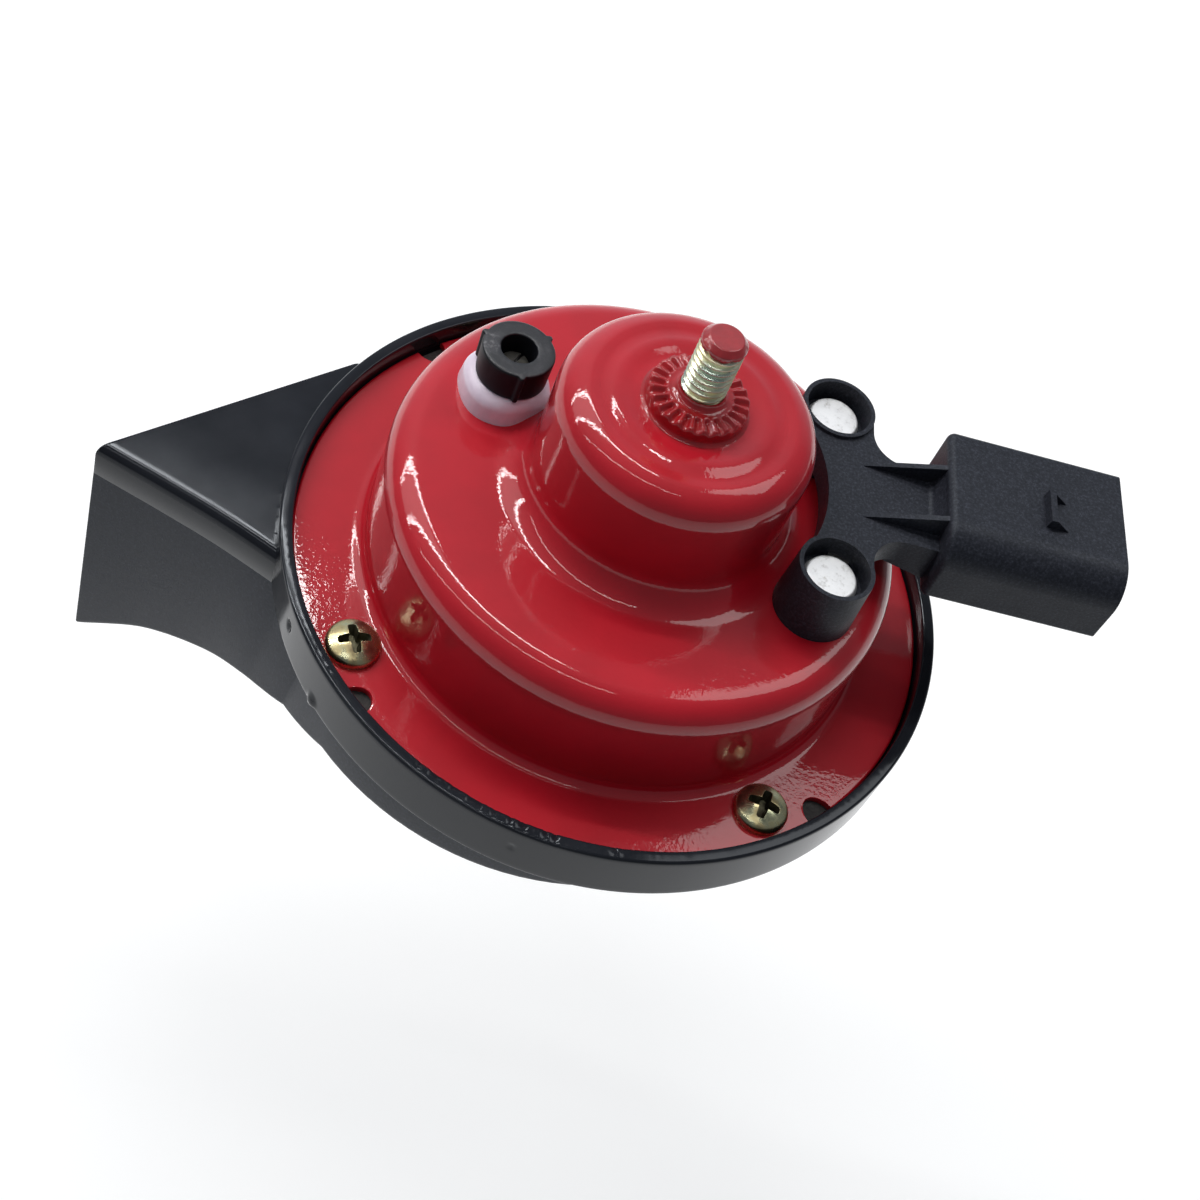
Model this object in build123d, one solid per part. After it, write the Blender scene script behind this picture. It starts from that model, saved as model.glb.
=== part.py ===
"""Snail-type electric car horn: trumpet, steel housing, electromagnet, breaker and plug.

Millimetres. The origin is where the horn is fastened: on the axis of the mounting stud,
in the plane of the serrated collar's teeth, which seat on the bracket. +Z runs out along
the stud and +X along the plug, so the horn hangs below z = 0 with its trumpet furthest down.
"""
from build123d import *
from math import cos, sin, radians, pi
import os

# ---------------------------------------------------------------- driving dimensions
# Mounting stud and its serrated collar
STUD_R = 3.0
STUD_PROUD = 10.2
STUD_CHAMFER = 0.75
SHANK_R = 3.4
COLLAR_R = 6.7
COLLAR_H = 2.2
COLLAR_HUB = 0.55
TOOTH_COUNT = 24
TOOTH_DEPTH = 0.9

# Deep-drawn steel housing
STEEL_T = 1.0
TIER3_R = 17.5
TIER3_H = 18.4
TIER2_R = 35.7
TIER2_H = 18.1
FLANGE_R = 45.5
SHOULDER_R = 4.0
TIER3_FOOT_R = 4.5
TIER2_FOOT_R = 1.8

# Clamped stack between the housing and the trumpet
GASKET_T = 0.5
GASKET_INSET = 0.3
DIAPHRAGM_T = 0.4
STACK_GAP = 0.5
BEAD_R = 24.0
BEAD_H = 0.5
BEAD_W = 4.0

# Flange screws, and the half-round notches that locate the housing in the rim
SCREW_COUNT = 4
SCREW_INSET = 4.5
SCREW_ANGLE = -145.9
SCREW_R = 1.45
SCREW_HEAD_R = 3.75
SCREW_HEAD_H = 2.3
SCREW_LENGTH = 5.2
NOTCH_TURN = 10.0
NOTCH_R = 2.2
NOTCH_DEPTH = 3.0

# Plastic trumpet
FLANGE_GAP = 0.2
RIM_WALL = 1.8
RIM_RISE = 2.7
DECK_T = 3.7
SHELL_WALL = 1.5
DISH_R = 34.5
DISH_DEPTH = 1.1
POCKET_R = 9.5
POCKET_DEPTH = 2.8
THROAT_R = 5.5

# Volute: a spiral channel that grows by a fixed ratio each turn. Flow angles run clockwise
# from +X, seen from the stud.
TURN_RATIO = 1.68
VOLUTE_TURNS = 1.5
VOLUTE_INSET = 4.9
VOLUTE_END = 141.2
VOLUTE_END_DEPTH = 12.5
VOLUTE_START_DEPTH = 9.0
VALLEY_W = 0.6
CHANNEL_MIN_W = 5.5
ROOF_RECESS = 0.3
DECK_BURY = 1.6
CHANNEL_CORNER = 1.4
SHELL_CORNER = 2.2
RIDGE_R = 3.0
FOOT_R = 1.6
FLARE_TURN = 90.0
SPIRAL_SECTIONS = 10

# Flare stations: flow angle of the inner wall past the spiral's end and how far it leaves the
# spiral, the same for the outer wall and the volute's radius, rise of the roof, depth of the floor
FLARE = [
    (12.9, 0.0, 12.9, 1.0, 0.3, 15.9),
    (33.8, 0.0, 23.6, 5.0, 1.5, 20.3),
    (52.4, 0.6, 31.8, 10.2, 2.7, 25.4),
    (63.8, 8.3, 36.7, 19.3, 3.6, 29.6),
    (70.7, 17.5, 39.0, 29.4, 4.2, 35.9),
]
FLARE_STEPS = 3

# Plug connector, riveted on the second tier
BOSS_X = 23.0
BOSS_MID_Y = 1.25
BOSS_PITCH = 27.9
BOSS_R = 5.2
BOSS_FOOT_R = 5.6
BOSS_H = 9.1
BOSS_BORE_R = 4.6
BOSS_BORE_DEPTH = 3.6
PLATE_DROP = 0.5
PLATE_T = 3.9
PLATE_INNER_R = 21.8
NECK_MID_Y = 1.3
NECK_W = 13.4
NECK_BLEND_R = 4.6
SOCKET_BACK_X = 37.4
SOCKET_LENGTH = 25.4
SOCKET_MID_Y = 2.6
SOCKET_W = 20.5
SOCKET_H = 11.2
SOCKET_RISE = 3.6
SOCKET_WALL = 1.6
SOCKET_DEPTH = 19.0
SOCKET_KEY_R = 5.0
SOCKET_EDGE_R = 0.8
SOCKET_REAR_R = 1.1
RIB_T = 0.8
RIB_PITCH = 8.9
RIB_MID_Y = 2.1
RIB_START_X = 26.5
RAMP_LENGTH = 1.5
RAMP_H = 0.45
CATCH_X = 51.0
CATCH_LENGTH = 3.3
CATCH_W = 5.5
CATCH_H = 1.5
CATCH_WALL = 1.1
CATCH_CHEEK = 0.7

# Terminals and the rivets that carry the current through the housing
BLADE_T = 0.6
BLADE_W = 2.8
BLADE_PITCH = 6.4
BLADE_REACH = 13.5
TERMINAL_RING_R = 3.4
RIVET_R = 1.6
RIVET_HEAD_R = 3.8
RIVET_HEAD_H = 1.0
RIVET_TAIL_R = 2.6
RIVET_TAIL_H = 0.9
BUSH_NECK_R = 2.45
BUSH_FLANGE_R = 4.3
BUSH_FLANGE_T = 1.2
TAB_T = 0.6
TAB_R = 3.0
TAB_REACH = 5.5
SEAL_T = 0.8
SEAL_IN_R = 2.2
SEAL_R = 3.6

# Adjuster on the second tier
ADJUSTER_PCD_R = 24.45
ADJUSTER_ANGLE = 153.2
CAP_R = 5.0
CAP_H = 4.9
CAP_BORE_R = 2.5
CAP_NIB = 0.4
CAP_NIBS = 3
CAP_NIB_TURN = 8.0
CAP_LIFT = 3.7
SEALANT_R = 5.6
ADJUSTER_R = 2.0
ADJUSTER_TIP_R = 1.5
ADJUSTER_SINK = 2.6
SLOT_W = 0.8

# Electromagnet
CORE_R = 7.0
CORE_LENGTH = 20.8
AIR_GAP = 0.8
BOBBIN_WALL = 0.9
BOBBIN_R = 15.4
BOBBIN_FLANGE_T = 1.0
BOBBIN_TOP_DROP = 1.8
WINDING_R = 14.6
YOKE_T = 1.0
YOKE_R = 23.8
YOKE_BORE_R = 8.2
ARMATURE_R = 7.0
STRIKER_R = 10.5
STRIKER_T = 1.2
STRIKER_DROP = 8.4
ARMATURE_NECK_R = 3.0
WASHER_T = 0.8
UPPER_WASHER_R = 9.0
LOWER_WASHER_R = 8.0
ARMATURE_HEAD_R = 4.2
ARMATURE_HEAD_H = 1.2
ARMATURE_TRAVEL = 0.6

# Contact breaker, laid out beside the adjuster: local x runs from the stud through it
STRIP_T = 0.8
STRIP_IN_X = 19.0
STRIP_OUT_X = 28.3
STRIP_END_Y = -7.0
ARM_BACK_Y = 10.0
TONGUE_X = 8.4
TONGUE_W = 6.0
SHOE_T = 1.1
SHOE_LENGTH = 2.0
SHOE_W = 2.0
SHOE_GAP = 0.1
LEAF_T = 0.3
LEAF_W = 5.5
LEAF_FRONT_Y = 4.0
STACK_X = 18.7
STACK_W = 6.8
STACK_Y = 14.0
STACK_LENGTH = 6.6
HINGE_Y = 12.0
CONTACT_R = 1.9
CONTACT_T = 0.9
CONTACT_GAP = 0.05
CONTACT_X = 22.0
CONTACT_Y = -4.6
INSULATOR_T = 1.6
BACKING_T = 0.8
BREAKER_RIVET_R = 1.1
BREAKER_BUSH_R = 1.6
BREAKER_HEAD_R = 1.3
BREAKER_HEAD_H = 0.8
BRACKET_T = 1.2
LEAF_RIVET_R = 0.6
LEAF_RIVET_HEAD_R = 1.0
LEAF_RIVET_HEAD_H = 0.4
LEAD_R = 0.45

# Fits
SLIP = 0.05
PRESS = 0.02

# ---------------------------------------------------------------- radii that follow the flange
GASKET_IN_R = TIER2_R + GASKET_INSET
STACK_R = FLANGE_R - STACK_GAP
SCREW_PCD_R = FLANGE_R - SCREW_INSET
RIM_INNER_R = FLANGE_R + FLANGE_GAP
RIM_R = RIM_INNER_R + RIM_WALL
VOLUTE_R = RIM_R - VOLUTE_INSET
FLARE_START = VOLUTE_END - FLARE_TURN

# ---------------------------------------------------------------- levels, from the seat down
TIER3_TOP = -COLLAR_H
TIER3_CEILING = TIER3_TOP - STEEL_T
TIER2_TOP = TIER3_TOP - TIER3_H
TIER2_CEILING = TIER2_TOP - STEEL_T
FLANGE_TOP = TIER2_TOP - TIER2_H
FLANGE_BACK = FLANGE_TOP - STEEL_T
DIAPHRAGM_TOP = FLANGE_BACK - GASKET_T
DIAPHRAGM_BACK = DIAPHRAGM_TOP - DIAPHRAGM_T
DECK_TOP = DIAPHRAGM_BACK - GASKET_T
DECK_BACK = DECK_TOP - DECK_T
MOUTH_TOP = DECK_BACK + FLARE[-1][4] + SHELL_WALL
RIM_TOP = FLANGE_TOP + RIM_RISE
BOSS_TOP = TIER2_TOP + BOSS_H
TERMINAL_TOP = BOSS_TOP - BOSS_BORE_DEPTH + BLADE_T
PLATE_TOP = BOSS_TOP - PLATE_DROP
PLATE_BACK = PLATE_TOP - PLATE_T
SOCKET_TOP = BOSS_TOP + SOCKET_RISE
SOCKET_BACK = SOCKET_TOP - SOCKET_H
CORE_FACE = TIER3_CEILING - CORE_LENGTH
ARMATURE_TOP = CORE_FACE - AIR_GAP
STRIKER_TOP = ARMATURE_TOP - STRIKER_DROP
ARM_BACK = STRIKER_TOP + SHOE_GAP + SHOE_T
ARM_TOP = ARM_BACK + STRIP_T
FIXED_TOP = ARM_BACK - 2 * CONTACT_T - CONTACT_GAP
FIXED_BACK = FIXED_TOP - STRIP_T
LEAF_TOP = ARM_TOP + LEAF_T
BRACKET_BACK = LEAF_TOP + INSULATOR_T
LOWER_INSULATOR_BACK = FIXED_BACK - INSULATOR_T
BACKING_BACK = LOWER_INSULATOR_BACK - BACKING_T


# ---------------------------------------------------------------- shared shapes
def rod(radius, low, high, x=0.0, y=0.0):
    """Upright cylinder between two levels."""
    base = Cylinder(radius, high - low, align=(Align.CENTER, Align.CENTER, Align.MIN))
    return Pos(x, y, low) * base


def ring(outer, inner, low, high, x=0.0, y=0.0):
    """Upright tube between two levels."""
    return rod(outer, low, high, x, y) - rod(inner, low - 1, high + 1, x, y)


def block(x0, x1, y0, y1, low, high):
    """Square-edged block between two corners."""
    box = Box(x1 - x0, y1 - y0, high - low, align=(Align.MIN, Align.MIN, Align.MIN))
    return Pos(x0, y0, low) * box


def turned(points):
    """Solid of revolution about Z from (radius, level) points."""
    return revolve(Plane.XZ * make_face(Polyline(*points, close=True)), Axis.Z)


def polar(radius, angle):
    """Plan position at a radius and an angle in degrees."""
    return radius * cos(radians(angle)), radius * sin(radians(angle))


SCREW_SPOTS = [polar(SCREW_PCD_R, SCREW_ANGLE + 360 / SCREW_COUNT * i) for i in range(SCREW_COUNT)]
BOSS_SPOTS = [(BOSS_X, BOSS_MID_Y + side * BOSS_PITCH / 2) for side in (1, -1)]
ADJUSTER_SPOT = polar(ADJUSTER_PCD_R, ADJUSTER_ANGLE)
BREAKER_PLANE = Location((0, 0, 0), (0, 0, ADJUSTER_ANGLE))


def screw_holes(radius, low, high):
    """Clearance holes for the flange screws."""
    return Part() + [rod(radius, low, high, x, y) for x, y in SCREW_SPOTS]


# ---------------------------------------------------------------- mounting stud and collar
def make_pole_stud():
    """Magnet core, shank and threaded stud, cold headed and turned in one piece."""
    tip = STUD_PROUD
    return turned([
        (0, CORE_FACE), (CORE_R, CORE_FACE), (CORE_R, TIER3_CEILING), (SHANK_R, TIER3_CEILING),
        (SHANK_R, 0), (STUD_R, 0), (STUD_R, tip - STUD_CHAMFER), (STUD_R - STUD_CHAMFER, tip), (0, tip),
    ])


def make_serrated_collar():
    """Ring pressed over the shank, with radial teeth that bite into the bracket."""
    bore = SHANK_R + PRESS
    hub = bore + COLLAR_HUB
    root = -TOOTH_DEPTH
    body = ring(COLLAR_R, bore, TIER3_TOP, root)
    body += ring(hub, bore, root - 0.1, 0)
    tooth_in = hub - 0.1
    tooth_out = COLLAR_R - 0.2
    pitch = 2 * pi / TOOTH_COUNT

    def outline(radius):
        half_root = 0.46 * pitch * radius
        half_top = 0.14 * pitch * radius
        points = [(-half_root, root - 0.1), (half_root, root - 0.1), (half_top, 0), (-half_top, 0)]
        plane = Plane(origin=(radius, 0, 0), x_dir=(0, 1, 0), z_dir=(1, 0, 0))
        return plane * make_face(Polyline(*points, close=True))

    tooth = loft([outline(tooth_in), outline(tooth_out)], ruled=True)
    return body + [Rot(0, 0, 360 / TOOTH_COUNT * i) * tooth for i in range(TOOTH_COUNT)]


# ---------------------------------------------------------------- steel housing
def housing_profile(depth):
    """Housing wall line, moved inwards by depth from the outer skin."""
    outer = SHOULDER_R - depth
    points = [
        (0, TIER3_TOP - depth), (TIER3_R - depth, TIER3_TOP - depth),
        (TIER3_R - depth, TIER2_TOP - depth), (TIER2_R - depth, TIER2_TOP - depth),
        (TIER2_R - depth, FLANGE_TOP - depth), (FLANGE_R, FLANGE_TOP - depth),
    ]
    return FilletPolyline(*points, radius=[outer, TIER3_FOOT_R + depth, outer, TIER2_FOOT_R + depth])


def housing_form():
    """The housing's outer form as one solid, for whatever is seated on it."""
    skin = housing_profile(0)
    foot = Polyline(skin @ 1, (0, FLANGE_TOP), skin @ 0)
    return revolve(Plane.XZ * make_face([skin, foot]), Axis.Z)


def make_steel_housing():
    """Stepped cup, deep drawn from one steel sheet."""
    skin = housing_profile(0)
    inside = housing_profile(STEEL_T)
    axis_edge = Line(skin @ 0, inside @ 0)
    flange_edge = Line(skin @ 1, inside @ 1)
    cup = revolve(Plane.XZ * make_face([skin, flange_edge, inside, axis_edge]), Axis.Z)
    cup -= rod(SHANK_R + PRESS, TIER3_CEILING - 1, TIER3_TOP + 1)
    cup -= screw_holes(SCREW_R + 0.35, FLANGE_BACK - 1, FLANGE_TOP + 1)
    for i in range(SCREW_COUNT):
        angle = SCREW_ANGLE + NOTCH_TURN + 360 / SCREW_COUNT * i
        centre = FLANGE_R - NOTCH_DEPTH + NOTCH_R
        notch = rod(NOTCH_R, FLANGE_BACK - 1, FLANGE_TOP + 1, centre)
        notch += block(centre, FLANGE_R + 1, -NOTCH_R, NOTCH_R, FLANGE_BACK - 1, FLANGE_TOP + 1)
        cup -= Rot(0, 0, angle) * notch
    for x, y in BOSS_SPOTS:
        cup -= rod(BUSH_NECK_R + SLIP, TIER2_CEILING - 1, TIER2_TOP + 1, x, y)
    cup -= rod(ADJUSTER_R + PRESS, TIER2_CEILING - 1, TIER2_TOP + 1, *ADJUSTER_SPOT)
    return cup


# ---------------------------------------------------------------- clamped stack
def make_gasket(high):
    """Flat paper gasket under the clamped ring."""
    return ring(STACK_R, GASKET_IN_R, high - GASKET_T, high) - screw_holes(SCREW_R + 0.35, high - 1, high + 1)


def make_diaphragm():
    """Spring-steel disc with one pressed ring bead."""
    half = BEAD_W / 2
    top = [
        (BEAD_R - half, DIAPHRAGM_TOP), (BEAD_R, DIAPHRAGM_TOP + BEAD_H), (BEAD_R + half, DIAPHRAGM_TOP),
        (STACK_R, DIAPHRAGM_TOP),
    ]
    bottom = [(r, z - DIAPHRAGM_T) for r, z in reversed(top)]
    bore = ARMATURE_NECK_R + SLIP
    disc = turned([(bore, DIAPHRAGM_TOP)] + top + bottom + [(bore, DIAPHRAGM_BACK)])
    return disc - screw_holes(SCREW_R + 0.35, DIAPHRAGM_BACK - 1, DIAPHRAGM_TOP + 1)


def make_flange_screws():
    """Four self-tapping screws with domed cross-recess heads."""
    tip = FLANGE_TOP - SCREW_LENGTH
    shank = rod(SCREW_R, tip + SCREW_R, FLANGE_TOP)
    shank += turned([(0, tip), (SCREW_R, tip + SCREW_R), (0, tip + SCREW_R)])
    head = rod(SCREW_HEAD_R, FLANGE_TOP, FLANGE_TOP + SCREW_HEAD_H)
    crown = head.faces().sort_by(Axis.Z)[-1].edges()
    head = fillet(crown, 0.7 * SCREW_HEAD_H)
    arm = 0.62 * SCREW_HEAD_R
    half = 0.13 * SCREW_HEAD_R
    floor = FLANGE_TOP + 0.35 * SCREW_HEAD_H
    above = FLANGE_TOP + SCREW_HEAD_H + 1
    recess = block(-arm, arm, -half, half, floor, above) + block(-half, half, -arm, arm, floor, above)
    screw = shank + (head - recess)
    return Part() + [Pos(x, y, 0) * screw for x, y in SCREW_SPOTS]


# ---------------------------------------------------------------- trumpet
def outer_radius(turn):
    """Radius of the channel's outer wall, at a flow angle in degrees."""
    return VOLUTE_R * TURN_RATIO ** ((turn - VOLUTE_END) / 360)


def inner_radius(turn):
    """Radius of the channel's inner wall: it clears the turn before by a valley."""
    beside = outer_radius(turn - 360) + 2 * SHELL_WALL + VALLEY_W
    return min(beside, outer_radius(turn) - CHANNEL_MIN_W)


def channel_depth(turn):
    """Depth of the channel below the deck."""
    share = (VOLUTE_END - turn) / (360 * VOLUTE_TURNS)
    return VOLUTE_END_DEPTH * (VOLUTE_START_DEPTH / VOLUTE_END_DEPTH) ** share


def spiral_stations(start, end, steps):
    """Inner point, outer point, roof and floor of the air channel along the spiral."""
    stations = []
    for i in range(steps + 1):
        turn = start + (end - start) * i / steps
        near = polar(inner_radius(turn), -turn)
        far = polar(outer_radius(turn), -turn)
        stations.append((near, far, DECK_BACK + ROOF_RECESS, DECK_BACK - channel_depth(turn)))
    return stations


def smoothed(before, start, end, after, part):
    """Point a given part of the way from start to end on the smooth curve through all four."""
    slope_in = (end - before) / 2
    slope_out = (after - start) / 2
    bend = 3 * (end - start) - 2 * slope_in - slope_out
    twist = 2 * (start - end) + slope_in + slope_out
    return start + part * (slope_in + part * (bend + part * twist))


def flare_rows():
    """Rows of the flare table with more of them worked out in between, on smooth curves."""
    ends = [FLARE[0]] + FLARE + [FLARE[-1]]
    rows = []
    for leg in range(len(FLARE) - 1):
        for step in range(FLARE_STEPS):
            part = step / FLARE_STEPS
            rows.append([smoothed(*four, part) for four in zip(*ends[leg:leg + 4])])
    return rows + [FLARE[-1]]


def flare_stations():
    """The same for the flare, from the end of the spiral to the mouth."""
    stations = []
    for near_turn, near_out, far_turn, far_out, rise, depth in flare_rows():
        near_turn += VOLUTE_END
        far_turn += VOLUTE_END
        near = polar(inner_radius(near_turn) + near_out, -near_turn)
        far = polar(VOLUTE_R + far_out, -far_turn)
        stations.append((near, far, DECK_BACK + rise, DECK_BACK - depth))
    return stations


def upright(near, far, sketch):
    """Stands a sketch, drawn across and up from the middle of two plan points, in the channel."""
    near = Vector(*near)
    far = Vector(*far)
    across = (far - near).normalized()
    flow = across.cross(Vector(0, 0, 1))
    plane = Plane(origin=(near + far) * 0.5, x_dir=across, z_dir=flow)
    return plane * sketch


def frame_section(station, grow, corner, foot, top=None):
    """Closed section with rounded corners, moved out by grow from the air channel."""
    near, far, high, low = station
    half = (Vector(*far) - Vector(*near)).length / 2 + grow
    top = high + grow if top is None else top
    low -= grow
    outline = FilletPolyline(
        (-half, low), (half, low), (half, top), (-half, top), close=True,
        radius=[foot, foot, corner, corner],
    )
    return upright(near, far, make_face(outline))


def trough_section(station):
    """U-shaped section of the trough's two walls and floor, open at the deck."""
    near, far, _, low = station
    air = (Vector(*far) - Vector(*near)).length / 2
    skin = air + SHELL_WALL
    bottom = low - SHELL_WALL
    outline = FilletPolyline(
        (-skin, DECK_BACK), (-skin, bottom), (skin, bottom), (skin, DECK_BACK),
        (air, DECK_BACK), (air, low), (-air, low), (-air, DECK_BACK), close=True,
        radius=[0, SHELL_CORNER, SHELL_CORNER, 0, 0, CHANNEL_CORNER, CHANNEL_CORNER, 0],
    )
    return upright(near, far, make_face(outline))


def make_flare_tube():
    """Last part of the channel and the flare: its walls with their own roof, and its air."""
    skins = []
    airs = []
    for station in spiral_stations(FLARE_START, VOLUTE_END, 8):
        skins.append(frame_section(station, SHELL_WALL, SHELL_CORNER, SHELL_CORNER, DECK_BACK + DECK_BURY))
        airs.append(frame_section(station, 0, CHANNEL_CORNER, CHANNEL_CORNER))
    for station in flare_stations():
        skins.append(frame_section(station, SHELL_WALL, RIDGE_R, FOOT_R, MOUTH_TOP))
        airs.append(frame_section(station, 0, CHANNEL_CORNER, CHANNEL_CORNER))
    air = loft(airs, ruled=True)
    return loft(skins, ruled=True) - air, air


def make_throat_cup():
    """Round cup under the throat, with a short passage out to the start of the spiral."""
    turn = VOLUTE_END - 360 * VOLUTE_TURNS
    low = DECK_BACK - channel_depth(turn)
    width = outer_radius(turn) - inner_radius(turn)
    reach = outer_radius(turn)
    wall = SHELL_WALL
    cup = rod(THROAT_R + wall, low - wall, DECK_BACK)
    cup += block(0, reach + wall, 0, width + wall, low - wall, DECK_BACK)
    cup += block(0, inner_radius(turn) - wall / 2, -wall, 0, low - wall, DECK_BACK)
    cup -= rod(THROAT_R, low, DECK_BACK + 1)
    cup -= block(0, reach, 0, width, low, DECK_BACK + 1)
    return Rot(0, 0, -turn) * cup


def make_trumpet_shells():
    """Rear shell with rim, deck and flare roof; front shell with the spiral trough."""
    weld = Plane((0, 0, DECK_BACK))
    tube, air = make_flare_tube()
    start = VOLUTE_END - 360 * VOLUTE_TURNS
    spiral = loft([trough_section(s) for s in spiral_stations(start, FLARE_START, SPIRAL_SECTIONS)])
    front = split(tube, bisect_by=weld, keep=Keep.BOTTOM) + (spiral + make_throat_cup())

    rear = rod(RIM_R, DECK_BACK, RIM_TOP) + split(tube, bisect_by=weld, keep=Keep.TOP)
    rear -= rod(RIM_INNER_R, DECK_TOP, RIM_TOP + 1)
    rear -= split(air, bisect_by=weld, keep=Keep.TOP)
    rear -= rod(DISH_R, DECK_TOP - DISH_DEPTH, DECK_TOP + 1)
    rear -= rod(POCKET_R, DECK_TOP - POCKET_DEPTH, DECK_TOP)
    rear -= rod(THROAT_R, DECK_BACK - 1, DECK_TOP)
    rear -= screw_holes(SCREW_R + PRESS, FLANGE_TOP - SCREW_LENGTH, DECK_TOP + 1)
    return rear, front


# ---------------------------------------------------------------- plug connector
def plate_outline():
    """Plan of the connector's plate: two bosses, a bridge and the neck to the socket."""
    edge_x = BOSS_X + BOSS_R
    top_y = BOSS_SPOTS[0][1]
    low_y = BOSS_SPOTS[1][1]
    neck = NECK_W / 2
    outline = make_face(Polyline(
        (BOSS_X - BOSS_R, low_y), (edge_x, low_y), (edge_x, NECK_MID_Y - neck),
        (SOCKET_BACK_X + 1, NECK_MID_Y - neck), (SOCKET_BACK_X + 1, NECK_MID_Y + neck),
        (edge_x, NECK_MID_Y + neck), (edge_x, top_y), (BOSS_X - BOSS_R, top_y), close=True,
    ))
    corners = [v for v in outline.vertices() if abs(v.X - edge_x) < 1e-6 and low_y < v.Y - 1e-6 < top_y - 1e-3]
    outline = fillet(corners, NECK_BLEND_R)
    outline -= Circle(PLATE_INNER_R)
    for x, y in BOSS_SPOTS:
        outline += Pos(x, y) * Circle(BOSS_R)
    return outline


def socket_outline(shrink):
    """End view of the socket, looking back along -X, with one large key corner."""
    half = SOCKET_W / 2 - shrink
    high = SOCKET_TOP - shrink
    low = SOCKET_BACK + shrink
    box = make_face(Polyline((-half, low), (half, low), (half, high), (-half, high), close=True))
    key = [v for v in box.vertices() if v.X < 0 and v.Y > (high + low) / 2]
    rest = [v for v in box.vertices() if not (v.X < 0 and v.Y > (high + low) / 2)]
    box = fillet(key, SOCKET_KEY_R - shrink)
    corners = [v for v in box.vertices() if any(abs(v.X - r.X) + abs(v.Y - r.Y) < 1e-6 for r in rest)]
    box = fillet(corners, SOCKET_EDGE_R)
    return Plane(origin=(0, SOCKET_MID_Y, 0), x_dir=(0, 1, 0), z_dir=(1, 0, 0)) * box


def terminal_outline(side):
    """Plan of one terminal: ring round the rivet, leg to the neck, blade in the socket."""
    x, y = BOSS_SPOTS[0] if side > 0 else BOSS_SPOTS[1]
    blade_y = SOCKET_MID_Y + side * BLADE_PITCH / 2
    half = BLADE_W / 2
    back = SOCKET_BACK_X + SOCKET_LENGTH - SOCKET_DEPTH
    leg_low = min(y, blade_y - half)
    leg_high = max(y, blade_y + half)
    shape = Pos(x, y) * Circle(TERMINAL_RING_R)
    leg_x = BOSS_X + 1.2
    shape += Pos(leg_x, (leg_low + leg_high) / 2) * Rectangle(BLADE_W, leg_high - leg_low)
    tip = back + BLADE_REACH
    shape += Pos((leg_x + tip) / 2, blade_y) * Rectangle(tip - leg_x, BLADE_W)
    return shape - Pos(x, y) * Circle(RIVET_R + PRESS)


def make_terminal(side):
    """Stamped brass terminal, moulded into the connector."""
    return Pos(0, 0, TERMINAL_TOP - BLADE_T) * extrude(terminal_outline(side), BLADE_T)


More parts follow.
